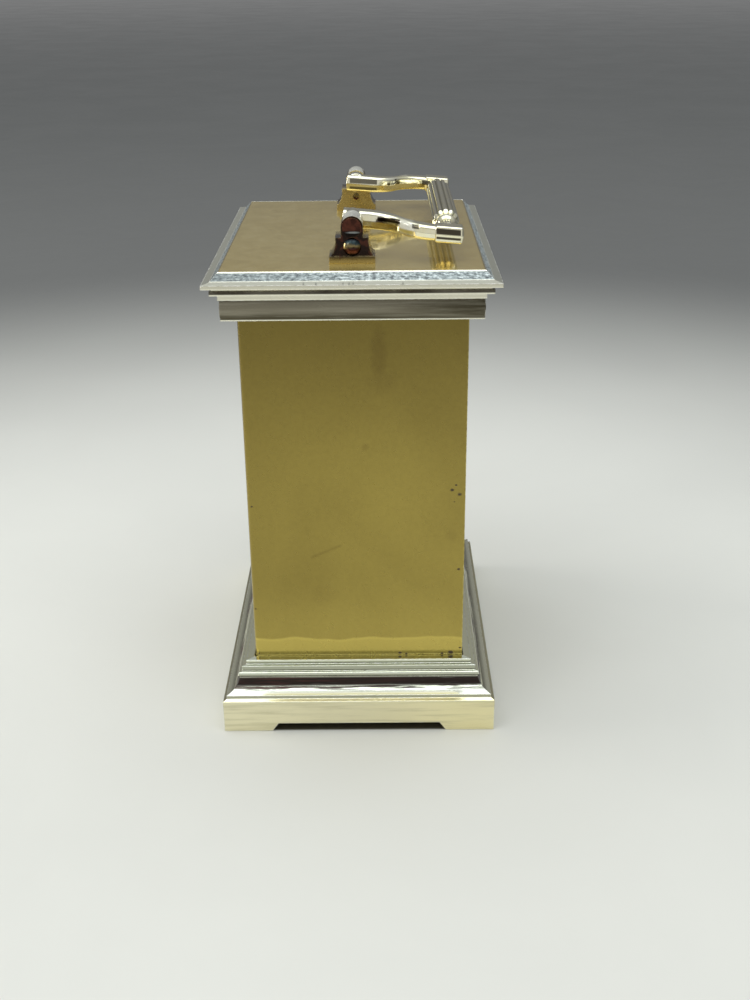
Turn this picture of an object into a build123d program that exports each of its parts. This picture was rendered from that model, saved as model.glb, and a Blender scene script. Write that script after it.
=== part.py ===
from build123d import *

import os
from math import asin, atan2, cos, degrees, hypot, pi, radians, sin

# A small carriage-style mantel clock with a brass case, a carrying handle, a rear door
# and a battery movement. Millimetres. X is the width, Y the depth with the dial towards -Y,
# Z is up, and the origin is the middle of the resting plane under the feet.

# Case body
body_width = 79.6
body_depth = 56.0
panel_height = 94.5
sheet = 1.0
bend_radius = 1.2
seat_depth = 1.5
seat_gap = 0.1
rim_gap = 0.25
rim_depth = 0.3

# Shared fits, and how far a cut runs past the face it opens
running_gap = 0.05
press_gap = 0.02
past = 1.0

# Base moulding, from the floor up: how far each member stands out past the body, and its height
plinth_reach = 8.45
plinth_height = 9.2
ledge_reach = 7.5
ledge_height = 0.45
fillet_height = 0.95
cove_reach = 4.1
cove_height = 3.9
cove_hollow = 0.85
bead_height = 1.3
bead_bulge = 0.35
low_step_reach = 3.4
low_step_height = 1.5
high_step_reach = 2.25
high_step_height = 1.2

# Base inside and feet
foot_length = 13.0
foot_slope = 1.7
foot_height = 2.35
plinth_wall = 2.6
plate_ledge = 2.0
base_plate_height = 2.8
base_plate_thickness = 1.0
base_plate_gap = 0.15
deck_thickness = 3.0
deck_wall = 3.3
shoulder_thickness = 2.0

# Cornice moulding, from its lower edge up
frieze_reach = 3.45
frieze_lip_height = 0.4
frieze_height = 4.7
frieze_bulge = 0.12
ovolo_reach = 3.8
ovolo_height = 1.2
band_reach = 5.5
band_drop = 0.3
band_height = 1.1
quirk_reach = 4.9
quirk_height = 0.8
lip_reach = 7.2
lip_height = 1.0
lip_slope = 0.4
bevel_reach = 5.3
bevel_height = 1.95
top_reach = 3.4

# Cornice inside and top plate
web_thickness = 2.5
top_plate_thickness = 1.0
top_plate_gap = 0.1
seat_ledge = 2.4

# Tie rods
rod_radius = 1.5
rod_gap = 0.1
rod_from_side = 3.2
rod_magnet_gap = 0.4
rod_head_radius = 2.7
rod_head_height = 1.4
rod_nut_across = 5.0
rod_nut_height = 2.0
rod_end_past_nut = 0.2

# Handle brackets
bracket_outer = 35.7
bracket_thickness = 7.2
bracket_foot_width = 11.0
bracket_foot_height = 1.7
bracket_foot_proud = 0.4
bracket_neck_width = 10.2
bracket_neck_hollow = 0.45
bracket_shoulder_width = 8.0
bracket_shoulder_height = 6.1
lobe_radius = 2.65
pivot_height = 8.55
bracket_screw_radius = 1.2
bracket_screw_head_radius = 2.2
bracket_screw_head_height = 1.4
rivet_pin_gap = 0.2
rivet_screw_gap = 0.9
rivet_radius = 0.8
rivet_head_radius = 2.15
rivet_head_rise = 1.15
rivet_tail = 0.7

# Handle
handle_drop = 2.05
handle_reach = 23.0
arm_thickness = 5.0
arm_bracket_gap = 1.6
arm_root_height = 4.2
arm_tip_height = 3.3
arm_heel = 2.6
arm_straight = 4.0
arm_draft = 8.0
arm_round = 0.9
block_outer = 36.2
block_thickness = 5.6
block_length = 7.1
block_height = 3.95
block_corner = 0.9
block_round = 0.5
hub_radius = 2.5
hub_gap = 0.15
pin_radius = 0.9
pin_head_radius = 2.3
pin_head_height = 0.4
pin_reach = 4.0
grip_radius = 3.35
grip_reeds = 13
reed_depth = 0.5
grip_half_length = 22.0
grip_chamfer = 0.75
grip_rod_radius = 1.5
grip_rod_depth = 3.0
collar_ball_radius = 2.6
collar_ball_center = 1.3
collar_neck_radius = 1.9

# Handle stop: a tongue on the hub turns in a pocket of the bracket
stop_radius = 2.15
stop_inner_radius = 1.25
stop_depth = 1.2
stop_half_angle = 30.0
stop_play = 0.5

# Front window and dial
window_side = 8.8
window_end = 9.25
bezel_flange = 3.0
bezel_flange_thickness = 1.8
bezel_lip = 2.2
bezel_lip_thickness = 1.2
bezel_edge = 0.6
neck_gap = 0.15
glass_overlap = 1.0
glass_gap = 0.1
hand_glass_gap = 0.7
dial_thickness = 0.8
dial_screw_radius = 1.0
dial_screw_inset = 1.7
dial_screw_head_radius = 1.7
dial_screw_head_height = 1.2
dial_screw_bite = 1.2

# Movement housing
movement_wall = 1.0
bush_radius = 4.0
bush_reach = 3.0
bush_gap = 0.1
washer_thickness = 0.4
washer_radius = 6.5
nut_across = 11.0
nut_thickness = 1.8
post_inset = 4.0
post_radius = 2.4
post_neck_radius = 1.5
movement_screw_radius = 0.7
movement_screw_depth = 4.0
movement_screw_head_radius = 1.5
movement_screw_head_height = 0.9

# Battery bay
battery_radius = 7.1
battery_length = 50.5
battery_gap = 0.15
nub_radius = 2.7
nub_length = 1.2
contact_room = 1.75
contact_thickness = 0.4
train_bay_gap = 1.492
contact_spring_radius = 3.0

# Gear train: modules, teeth and layers
motion_module = 0.5
minute_teeth = 12
motion_teeth = 36
motion_pinion_teeth = 10
hour_teeth = 40
train_pinion_teeth = 8
seconds_module = 0.45
seconds_teeth = 32
step_module = 0.2
step_teeth = 60
third_module = 0.25
third_teeth = 60
centre_teeth = 64
tooth_share = 0.4
tooth_addendum = 0.85
tooth_dedendum = 1.25
tooth_tip_share = 0.45
tooth_root_share = 1.35
wheel_thickness = 0.9
layer_gap = 0.5
arbor_radius = 0.4
seconds_arbor_radius = 0.5
minute_pipe_radius = 1.25
minute_pipe_tail_radius = 1.0
hour_pipe_radius = 2.2
motion_arbor_radius = 1.0
motion_pivot_radius = 0.8
knob_radius = 7.0
knob_height = 3.6
knob_grooves = 24
knob_groove_radius = 0.35
rotor_angle = 135.0

# Stepping motor and circuit
magnet_radius = 2.9
magnet_length = 2.0
magnet_gap = 0.5
stator_thickness = 0.8
stator_width = 7.8
stator_from_side = 2.0
stator_right = 3.5
stator_leg = 4.0
stator_from_top = 6.0
coil_radius = 3.2
coil_margin = 0.5
coil_cover_gap = 0.7
pillar_radius = 1.2
board_width = 16.5
board_height = 16.0
board_from_side = 5.5
board_from_top = 1.0
board_thickness = 1.0
crystal_radius = 1.0
crystal_length = 6.0
chip_size = 4.0
chip_thickness = 1.0

# Hands
hand_thickness = 0.4
hand_spacing = 0.8
hand_belly = 0.6
pipe_tip = 0.2
hour_hand_length = 16.0
hour_hand_width = 3.4
hour_hub_radius = 3.3
minute_hand_length = 24.5
minute_hand_width = 2.6
minute_hub_radius = 2.5
second_hand_length = 25.0
second_hand_width = 0.8
second_hand_tail = 7.0
second_hub_radius = 1.5
hour_shown = 10
minute_shown = 9.0
second_shown = 36.0

# Rear door
door_thickness = 1.2
door_gap = 0.4
hinge_radius = 1.0
hinge_from_wall = 1.4
hinge_pin_radius = 0.5
hinge_pin_seat = 1.6
hinge_pin_bite = 2.0
knob_from_edge = 6.0
door_knob_radius = 3.0
door_knob_stem_radius = 1.4
door_knob_stem = 1.6
door_knob_length = 3.0
door_knob_round = 0.9
magnet_width = 4.4
magnet_height = 12.0
magnet_depth = 2.0
strike_thickness = 0.8
strike_gap = 0.1

# Worked out from the sizes above
half_width = body_width / 2
half_depth = body_depth / 2
base_top = (plinth_height + ledge_height + fillet_height + cove_height
            + bead_height + low_step_height + high_step_height)
base_seat = base_top - rim_depth - seat_depth
cornice_bottom = base_top + panel_height
cornice_seat = cornice_bottom + seat_depth
lip_bottom = (cornice_bottom + frieze_lip_height + frieze_height + ovolo_height
              + band_drop + band_height + quirk_height)
cornice_top = lip_bottom + lip_height + lip_slope + bevel_height
web_top = cornice_top - top_plate_thickness
web_bottom = web_top - web_thickness
middle = base_top + panel_height / 2
rod_x = half_width - rod_from_side
rod_head_bottom = web_top - rod_head_height - rod_gap

window_width = body_width - 2 * window_side
window_height = panel_height - 2 * window_end
front = -half_depth
panel_back = front + sheet
glass_front = front + bezel_lip_thickness
glass_back = panel_back + bezel_flange_thickness
hand_stack = bush_reach + layer_gap + 3 * hand_thickness + 2 * hand_spacing + pipe_tip
dial_front = glass_back + hand_glass_gap + hand_stack
dial_back = dial_front + dial_thickness
frame_half_width = window_width / 2 + bezel_flange
frame_half_height = window_height / 2 + bezel_flange

pivot_z = cornice_top + pivot_height
rivet_height = pivot_height - pin_head_radius - rivet_pin_gap - rivet_head_radius
bracket_screw_depth = rivet_height - rivet_radius - rivet_screw_gap
bracket_inner = bracket_outer - bracket_thickness
bracket_center = bracket_outer - bracket_thickness / 2
arm_root_center = bracket_inner - arm_bracket_gap - arm_thickness / 2
handle_tilt = degrees(atan2(handle_drop, handle_reach))
handle_length = hypot(handle_reach, handle_drop)
block_inner = block_outer - block_thickness
block_start = handle_length - block_length / 2

hour_module = motion_module * (minute_teeth + motion_teeth) / (motion_pinion_teeth + hour_teeth)
motion_distance = motion_module * (minute_teeth + motion_teeth) / 2
third_distance = third_module * (train_pinion_teeth + third_teeth) / 2
centre_module = 2 * third_distance / (train_pinion_teeth + centre_teeth)
step_distance = seconds_module * (train_pinion_teeth + seconds_teeth) / 2
rotor_distance = step_module * (train_pinion_teeth + step_teeth) / 2
motion_axis = (0.0, motion_distance)
third_axis = (third_distance, 0.0)
step_axis = (-step_distance, 0.0)
rotor_axis = (
    step_axis[0] + rotor_distance * cos(radians(rotor_angle)),
    step_axis[1] + rotor_distance * sin(radians(rotor_angle)),
)

(hour_layer, minute_layer, plate_layer, centre_layer,
 third_layer, seconds_layer, step_layer, rotor_layer) = range(8)
layer_pitch = wheel_thickness + layer_gap
movement_front = dial_back
inner_front = movement_front + movement_wall
first_layer = inner_front + layer_gap
stator_front = first_layer + rotor_layer * layer_pitch + (magnet_length - stator_thickness) / 2
coil_y = stator_front - stator_thickness / 2
inner_back = coil_y + coil_radius + coil_cover_gap
movement_back = inner_back + movement_wall
knob_front = movement_back + layer_gap
inner_half = battery_length / 2 + contact_room
movement_half = inner_half + movement_wall
bay_wall_top = -hour_module * (hour_teeth / 2 + tooth_addendum) - train_bay_gap
bay_wall_bottom = bay_wall_top - movement_wall
battery_y = inner_front + battery_gap + battery_radius
battery_z = bay_wall_bottom - battery_gap - battery_radius
bay_floor = battery_z - battery_radius - battery_gap
stator_left = inner_half - stator_from_side
stator_top = inner_half - stator_from_top
board_left = inner_half - board_from_side - board_width
board_bottom = inner_half - board_from_top - board_height

hour_hand_front = dial_front - bush_reach - hand_thickness - layer_gap
minute_hand_front = hour_hand_front - hand_thickness - hand_spacing
second_hand_front = minute_hand_front - hand_thickness - hand_spacing

hinge_x = half_width - sheet - hinge_from_wall
hinge_y = half_depth - hinge_radius
door_bottom = base_top + door_gap
door_top = cornice_bottom - door_gap
door_front = half_depth - door_thickness
door_edge = -half_width + sheet + door_gap
magnet_back = door_front - strike_thickness - strike_gap
magnet_front = magnet_back - magnet_depth
rod_y = magnet_front - rod_magnet_gap - rod_radius


def block(x0, x1, y0, y1, z0, z1):
    center = Pos((x0 + x1) / 2, (y0 + y1) / 2, (z0 + z1) / 2)
    return center * Box(x1 - x0, y1 - y0, z1 - z0)


def frame_block(half_x, half_y, z0, z1):
    return block(-half_x, half_x, -half_y, half_y, z0, z1)


def bar_x(radius, x0, x1, y, z):
    return Pos((x0 + x1) / 2, y, z) * Rot(0, 90, 0) * Cylinder(radius, x1 - x0)


def bar_y(radius, y0, y1, x, z):
    return Pos(x, (y0 + y1) / 2, z) * Rot(90, 0, 0) * Cylinder(radius, y1 - y0)


def bar_z(radius, z0, z1, x, y):
    return Pos(x, y, (z0 + z1) / 2) * Cylinder(radius, z1 - z0)


def face_plate(outline, y0, y1, x=0.0, z=0.0):
    # A flat piece standing in the XZ plane, from y0 back to y1
    place = Plane((x, y1, z), x_dir=(1, 0, 0), z_dir=(0, -1, 0))
    return extrude(place * outline, amount=y1 - y0)


def corners(half_x, half_y):
    return [(sx * half_x, sy * half_y) for sx in (-1, 1) for sy in (-1, 1)]


def moulding_side(half, steps, side):
    # One side of a moulding's section: straight members, or arcs where a member has a bulge
    edges = []
    for (reach0, z0, _), (reach1, z1, bulge) in zip(steps, steps[1:]):
        start = (side * (half + reach0), z0)
        end = (side * (half + reach1), z1)
        if bulge:
            run, rise = reach1 - reach0, z1 - z0
            length = hypot(run, rise)
            mid_reach = half + (reach0 + reach1) / 2 + bulge * rise / length
            mid_z = (z0 + z1) / 2 - bulge * run / length
            edges.append(ThreePointArc(start, (side * mid_reach, mid_z), end))
        else:
            edges.append(Line(start, end))
    return edges


def moulding(steps):
    # Two crossed prisms of the same section meet in mitred corners
    bottom, top = steps[0], steps[-1]
    widest = max(reach + abs(bulge) for reach, _, bulge in steps)
    prisms = []
    for half, other, plane in ((half_width, half_depth, Plane.XZ), (half_depth, half_width, Plane.YZ)):
        edges = moulding_side(half, steps, 1) + moulding_side(half, steps, -1)
        for reach, z, _ in (bottom, top):
            edges.append(Line((-half - reach, z), (half + reach, z)))
        section = plane * make_face(edges)
        prisms.append(extrude(section, amount=other + widest + past, both=True))
    return prisms[0] & prisms[1]


def stack(members):
    # Turns (reach, height, bulge) members into points of a section, from the first point up
    points = [members[0]]
    z = members[0][1]
    for reach, height, bulge in members[1:]:
        z += height
        points.append((reach, z, bulge))
    return points


def base_plinth():
    body = moulding(stack([
        (plinth_reach, 0.0, 0),
        (plinth_reach, plinth_height, 0),
        (ledge_reach, ledge_height, 0),
        (ledge_reach, fillet_height, 0),
        (cove_reach, cove_height, -cove_hollow),
        (cove_reach, bead_height, bead_bulge),
        (low_step_reach, 0.0, 0),
        (low_step_reach, low_step_height, 0),
        (high_step_reach, 0.0, 0),
        (high_step_reach, high_step_height, 0),
    ]))
    out_x, out_y = half_width + plinth_reach, half_depth + plinth_reach
    plate_top = base_plate_height + base_plate_thickness
    deck_bottom = base_seat - deck_thickness
    body -= frame_block(out_x - plinth_wall, out_y - plinth_wall, -past, plate_top)
    narrow = plinth_wall + plate_ledge
    body -= frame_block(out_x - narrow, out_y - narrow, 0, plinth_height - shoulder_thickness)
    inner = cove_reach - deck_wall
    body -= frame_block(half_width + inner, half_depth + inner, 0, deck_bottom)
    body -= frame_block(half_width + seat_gap, half_depth + seat_gap, base_seat, base_top)
    body -= frame_block(half_width + rim_gap, half_depth + rim_gap, base_top - rim_depth, base_top + past)
    for half, other, plane in ((out_y, out_x, Plane.YZ), (out_x, out_y, Plane.XZ)):
        low = half - foot_length
        high = low - foot_slope
        cut = Polyline(
            (-low - foot_slope, -foot_height), (-high, foot_height),
            (high, foot_height), (low + foot_slope, -foot_height), close=True,
        )
        body -= extrude(plane * make_face(cut), amount=other + past, both=True)
    for x, y in corners(rod_x, rod_y):
        body -= bar_z(rod_radius + rod_gap, 0, base_top, x, y)
    hole_bottom = base_seat - hinge_pin_seat - running_gap
    body -= bar_z(hinge_pin_radius + running_gap, hole_bottom, base_top, hinge_x, hinge_y)
    return body


def base_plate():
    out_x = half_width + plinth_reach - plinth_wall - base_plate_gap
    out_y = half_depth + plinth_reach - plinth_wall - base_plate_gap
    plate = frame_block(out_x, out_y, base_plate_height, base_plate_height + base_plate_thickness)
    for x, y in corners(rod_x, rod_y):
        plate -= bar_z(rod_radius + rod_gap, 0, base_top, x, y)
    return plate


def case_shell():
    # One sheet bent into a front and two sides
    outer = frame_block(half_width, half_depth, base_seat, cornice_seat)
    bends = outer.edges().filter_by(Axis.Z).sort_by(Axis.Y)[:2]
    outer = fillet(bends, bend_radius)
    inner_x = half_width - sheet
    z0, z1 = base_seat - past, cornice_seat + past
    shell = outer - block(-inner_x, inner_x, panel_back, half_depth + past, z0, z1)
    window_x, window_z = window_width / 2, window_height / 2
    shell -= block(-window_x, window_x, front - past, panel_back + past, middle - window_z, middle + window_z)
    return shell


def top_cornice():
    body = moulding(stack([
        (frieze_reach, cornice_bottom, 0),
        (frieze_reach, frieze_lip_height, 0),
        (frieze_reach, frieze_height, frieze_bulge),
        (ovolo_reach, 0.0, 0),
        (ovolo_reach, ovolo_height, 0),
        (band_reach, band_drop, 0),
        (band_reach, band_height, 0),
        (quirk_reach, 0.0, 0),
        (quirk_reach, quirk_height, 0),
        (lip_reach, 0.0, 0),
        (lip_reach, lip_height, 0),
        (bevel_reach, lip_slope, 0),
        (top_reach, bevel_height, 0),
    ]))
    body -= frame_block(half_width + seat_gap, half_depth + seat_gap, cornice_bottom - past, cornice_seat)
    body -= frame_block(half_width - seat_ledge, half_depth - seat_ledge, cornice_bottom, web_bottom)
    opening = top_reach - top_plate_gap
    body -= frame_block(half_width + opening, half_depth + opening, web_top, cornice_top + past)
    for x, y in corners(rod_x, rod_y):
        body -= bar_z(rod_radius + rod_gap, cornice_bottom, web_top, x, y)
        body -= bar_z(rod_head_radius + rod_gap, rod_head_bottom, web_top, x, y)
    head_bottom = web_bottom - bracket_screw_head_height - rod_gap
    for x in (-bracket_center, bracket_center):
        body -= bar_z(bracket_screw_radius + rod_gap, web_bottom, web_top, x, 0)
        body -= bar_z(bracket_screw_head_radius + rod_gap, head_bottom, web_bottom, x, 0)
    hole_top = cornice_seat + hinge_pin_seat + running_gap
    body -= bar_z(hinge_pin_radius + running_gap, cornice_bottom, hole_top, hinge_x, hinge_y)
    return body


def top_plate():
    gap = 2 * top_plate_gap
    plate = frame_block(half_width + top_reach - gap, half_depth + top_reach - gap, web_top, cornice_top)
    for x in (-bracket_center, bracket_center):
        plate -= bar_z(bracket_screw_radius + rod_gap, web_top - past, cornice_top + past, x, 0)
    return plate


def tie_rods():
    rods = []
    end = base_plate_height - rod_nut_height - rod_end_past_nut
    for x, y in corners(rod_x, rod_y):
        shank = bar_z(rod_radius, end, rod_head_bottom, x, y)
        head = bar_z(rod_head_radius, rod_head_bottom, rod_head_bottom + rod_head_height, x, y)
        rods.append(shank + head)
    return rods


def tie_rod_nuts():
    nuts = []
    for x, y in corners(rod_x, rod_y):
        hexagon = RegularPolygon(rod_nut_across / 2, 6, major_radius=False) - Circle(rod_radius + press_gap)
        place = Pos(x, y, base_plate_height - rod_nut_height)
        nuts.append(place * extrude(hexagon, amount=rod_nut_height))
    return nuts


def bracket(side):
    # Foot, hollow-sided neck, shoulders and a round lobe at the handle's pivot
    foot, neck = bracket_foot_width / 2, bracket_neck_width / 2
    shoulder = bracket_shoulder_width / 2
    z0 = cornice_top
    z1, z2 = z0 + bracket_foot_height, z0 + bracket_shoulder_height
    edges = [Line((-neck, z0), (neck, z0))]
    for s in (-1, 1):
        middle_y = (neck + shoulder) / 2 - bracket_neck_hollow
        edges.append(Line((s * neck, z0), (s * neck, z1)))
        edges.append(ThreePointArc((s * neck, z1), (s * middle_y, (z1 + z2) / 2), (s * shoulder, z2)))
        edges.append(Line((s * shoulder, z2), (s * lobe_radius, z2)))
        edges.append(Line((s * lobe_radius, z2), (s * lobe_radius, pivot_z)))
    edges.append(ThreePointArc((-lobe_radius, pivot_z), (0, pivot_z + lobe_radius), (lobe_radius, pivot_z)))
    outline = Plane.YZ * make_face(edges)
    body = Pos(bracket_inner, 0, 0) * extrude(outline, amount=bracket_thickness)
    body += block(bracket_inner, bracket_outer + bracket_foot_proud, -foot, foot, z0, z1)
    body -= bar_x(pin_radius + press_gap, bracket_inner - past, bracket_outer + past, 0, pivot_z)
    body -= bar_x(rivet_radius + press_gap, bracket_inner - past, bracket_outer + past, 0, z0 + rivet_height)
    depth = bracket_screw_depth + press_gap
    body -= bar_z(bracket_screw_radius + press_gap, z0 - past, z0 + depth, bracket_center, 0)
    body -= stop_pocket()
    return body if side > 0 else mirror(body, about=Plane.YZ)


def sector(radius, center_angle, half_angle, x0, x1):
    # A wedge about the pivot's X axis, opening towards center_angle from +Y
    reach = 2 * radius / cos(radians(half_angle))
    points = [(0.0, 0.0)]
    for turn in (-half_angle, half_angle):
        angle = radians(center_angle + turn)
        points.append((reach * cos(angle), reach * sin(angle)))
    wedge = Plane.YZ * make_face(Polyline(*points, close=True))
    wedge = Pos(x0, 0, 0) * extrude(wedge, amount=x1 - x0)
    return wedge & bar_x(radius, x0, x1, 0, 0)


def stop_pocket():
    x0, x1 = bracket_inner - past, bracket_inner + stop_depth + hub_gap
    pocket = bar_x(stop_radius + running_gap, x0, x1, 0, 0)
    half_angle = 90 - handle_tilt - stop_half_angle - stop_play
    land = sector(stop_radius + 2 * running_gap, -90, half_angle, x0, x1)
    land -= bar_x(stop_inner_radius, x0, x1, 0, 0)
    return Pos(0, 0, pivot_z) * (pocket - land)


def bracket_screws():
    screws = []
    for x in (-bracket_center, bracket_center):
        shank = bar_z(bracket_screw_radius, web_bottom, cornice_top + bracket_screw_depth, x, 0)
        head = bar_z(bracket_screw_head_radius, web_bottom - bracket_screw_head_height, web_bottom, x, 0)
        screws.append(shank + head)
    return screws


def turned(edges):
    # A round piece about the X axis, from a half section given as (x, radius)
    return revolve(make_face(edges), axis=Axis.X)


def bracket_rivets():
    ball = (rivet_head_radius ** 2 + rivet_head_rise ** 2) / (2 * rivet_head_rise)
    tail, crown = bracket_inner - rivet_tail, bracket_outer + rivet_head_rise
    half_cap = asin(rivet_head_radius / ball) / 2
    haunch = (crown - ball + ball * cos(half_cap), ball * sin(half_cap))
    right = turned([
        Polyline(
            (crown, 0), (tail, 0), (tail, rivet_radius), (bracket_outer, rivet_radius),
            (bracket_outer, rivet_head_radius),
        ),
        ThreePointArc((bracket_outer, rivet_head_radius), haunch, (crown, 0)),
    ])
    right = Pos(0, 0, cornice_top + rivet_height) * right
    return [right, mirror(right, about=Plane.YZ)]


def handle_pivot_pins():
    end = arm_root_center + arm_thickness / 2 - pin_reach
    shank = bar_x(pin_radius, end, bracket_outer, 0, pivot_z)
    head = bar_x(pin_head_radius, bracket_outer, bracket_outer + pin_head_height, 0, pivot_z)
    right = shank + head
    return [right, mirror(right, about=Plane.YZ)]


def folded(piece):
    # Handle pieces are drawn flat along +Y about the pivot and laid back to their rest
    return Pos(0, 0, pivot_z) * Rot(-handle_tilt, 0, 0) * piece


def drafted(outline, half_height):
    upper = extrude(outline, amount=half_height, taper=arm_draft)
    return upper + mirror(upper, about=Plane.XY)


def handle_arm(side):
    # The arm swings outwards in an S to an end block in line with the bracket
    tip_center = block_outer - block_thickness / 2
    half = arm_thickness / 2
    tip_y = block_start + block_length / 4
    edges = []
    for offset in (-half, half):
        x0, x1 = arm_root_center + offset, tip_center + offset
        center = ((x0 + x1) / 2, (arm_straight + block_start) / 2)
        edges.append(Line((x0, -arm_heel), (x0, arm_straight)))
        edges.append(TangentArc((x0, arm_straight), center, tangent=(0, 1)))
        edges.append(TangentArc((x1, block_start), center, tangent=(0, -1)))
        edges.append(Line((x1, block_start), (x1, tip_y)))
    edges.append(Line((arm_root_center - half, -arm_heel), (arm_root_center + half, -arm_heel)))
    edges.append(Line((tip_center - half, tip_y), (tip_center + half, tip_y)))
    arm = drafted(make_face(edges), arm_root_height / 2)
    root, tip = arm_root_height / 2, arm_tip_height / 2
    taper = Polyline(
        (-arm_heel - past, -root), (arm_straight, -root), (tip_y + past, -tip),
        (tip_y + past, tip), (arm_straight, root), (-arm_heel - past, root), close=True,
    )
    arm &= extrude(Plane.YZ * make_face(taper), amount=block_outer + past)
    flats = arm.faces().filter_by(lambda face: abs(face.normal_at().Z) > cos(radians(arm_draft)))
    rims = [edge for face in flats for edge in face.edges() if abs(edge.tangent_at(0.5).Y) > 0.5]
    arm = fillet(rims, arm_round)
    end = Pos(tip_center, handle_length) * RectangleRounded(block_thickness, block_length, block_corner)
    tip_block = drafted(end, block_height / 2)
    tip_rims = tip_block.faces().filter_by(Axis.Z).edges()
    arm += fillet(tip_rims, block_round)
    hub_end = bracket_inner - hub_gap
    arm += bar_x(hub_radius, arm_root_center, hub_end, 0, 0)
    tongue = sector(stop_radius, 0, stop_half_angle, hub_end, hub_end + stop_depth)
    arm += tongue - bar_x(stop_inner_radius + running_gap, hub_end, hub_end + stop_depth + past, 0, 0)
    bore_end = arm_root_center + half - pin_reach - running_gap
    arm -= bar_x(pin_radius + running_gap, bore_end, hub_end + stop_depth + past, 0, 0)
    rod_end = block_inner + grip_rod_depth + press_gap
    arm -= bar_x(grip_rod_radius + press_gap, block_inner - past, rod_end, handle_length, 0)
    arm = folded(arm)
    return arm if side > 0 else mirror(arm, about=Plane.YZ)


def handle_grip():
    # A bar of rounded reeds side by side
    low = grip_radius - reed_depth
    step = 2 * pi / grip_reeds
    edges = []
    for i in range(grip_reeds):
        points = ((low, i * step), (grip_radius, (i + 0.5) * step), (low, (i + 1) * step))
        edges.append(ThreePointArc(*[(r * cos(a), r * sin(a)) for r, a in points]))
    outline = make_face(edges) - Circle(grip_rod_radius + press_gap)
    bar = extrude(Plane.YZ * outline, amount=grip_half_length, both=True)
    small, large = grip_radius - grip_chamfer, grip_radius + past
    shoulder = grip_half_length - grip_chamfer - past
    bar &= turned(Polyline(
        (-grip_half_length, 0), (-grip_half_length, small), (-shoulder, large),
        (shoulder, large), (grip_half_length, small), (grip_half_length, 0), close=True,
    ))
    return folded(Pos(0, handle_length, 0) * bar)


def grip_collars():
    # A ball against the reeds and a neck to the end block
    bore = grip_rod_radius + press_gap
    center = grip_half_length + collar_ball_center
    start_radius = (collar_ball_radius ** 2 - collar_ball_center ** 2) ** 0.5
    ball_start = (grip_half_length, start_radius)
    ball_end = (center + (collar_ball_radius ** 2 - collar_neck_radius ** 2) ** 0.5, collar_neck_radius)
    right = turned([
        ThreePointArc(ball_start, (center, collar_ball_radius), ball_end),
        Polyline(
            ball_end, (block_inner, collar_neck_radius), (block_inner, bore),
            (grip_half_length, bore), ball_start,
        ),
    ])
    right = folded(Pos(0, handle_length, 0) * right)
    return [right, mirror(right, about=Plane.YZ)]


def grip_rod():
    end = block_inner + grip_rod_depth
    return folded(bar_x(grip_rod_radius, -end, end, handle_length, 0))


def dial_screw_places():
    half_x, half_z = frame_half_width - dial_screw_inset, frame_half_height - dial_screw_inset
    return [(x, middle + z) for x, z in corners(half_x, half_z)]


def window_block(margin, y0, y1):
    half_x, half_z = window_width / 2 + margin, window_height / 2 + margin
    return block(-half_x, half_x, y0, y1, middle - half_z, middle + half_z)


def front_bezel():
    # A slip flush with the front, its flange soldered behind the sheet, with the glass in its back
    lip = window_block(-neck_gap, front, panel_back)
    body = lip + window_block(bezel_flange, panel_back, glass_back)
    body -= window_block(glass_overlap - bezel_lip, glass_front, glass_back + past)
    body -= window_block(-bezel_lip, front - past, glass_back)
    mouth = body.faces().sort_by(Axis.Y)[0].inner_wires()[0].edges()
    body = chamfer(mouth, bezel_edge)
    hole_front = glass_back - dial_screw_bite - press_gap
    for x, z in dial_screw_places():
        body -= bar_y(dial_screw_radius + press_gap, hole_front, glass_back, x, z)
    return body


def front_glass():
    return window_block(glass_overlap - bezel_lip - glass_gap, glass_front, glass_back)


def dial_frame():
    # A shadow box that keeps the glass off the hands
    body = window_block(bezel_flange, glass_back, dial_front)
    body -= window_block(-bezel_lip, glass_back - past, dial_front + past)
    for x, z in dial_screw_places():
        body -= bar_y(dial_screw_radius + running_gap, glass_back - past, dial_front + past, x, z)
    return body


def dial_plate():
    plate = window_block(bezel_flange, dial_front, dial_back)
    plate -= bar_y(bush_radius + bush_gap, dial_front - past, dial_back + past, 0, middle)
    for x, z in dial_screw_places():
        plate -= bar_y(dial_screw_radius + running_gap, dial_front - past, dial_back + past, x, z)
    return plate


def dial_screws():
    screws = []
    for x, z in dial_screw_places():
        shank = bar_y(dial_screw_radius, glass_back - dial_screw_bite, dial_back, x, z)
        head = bar_y(dial_screw_head_radius, dial_back, dial_back + dial_screw_head_height, x, z)
        screws.append(shank + head)
    return screws


def layer(number):
    return first_layer + number * layer_pitch


def post_places():
    top = movement_half - post_inset
    bottom = bay_wall_top + post_inset - movement_wall
    return [(x, z) for x in (-top, top) for z in (bottom, top)]


def at_axis(radius, y0, y1, axis):
    return bar_y(radius, y0, y1, axis[0], middle + axis[1])


def movement_block(half_x, z0, z1, y0, y1):
    return block(-half_x, half_x, y0, y1, middle + z0, middle + z1)


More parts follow.
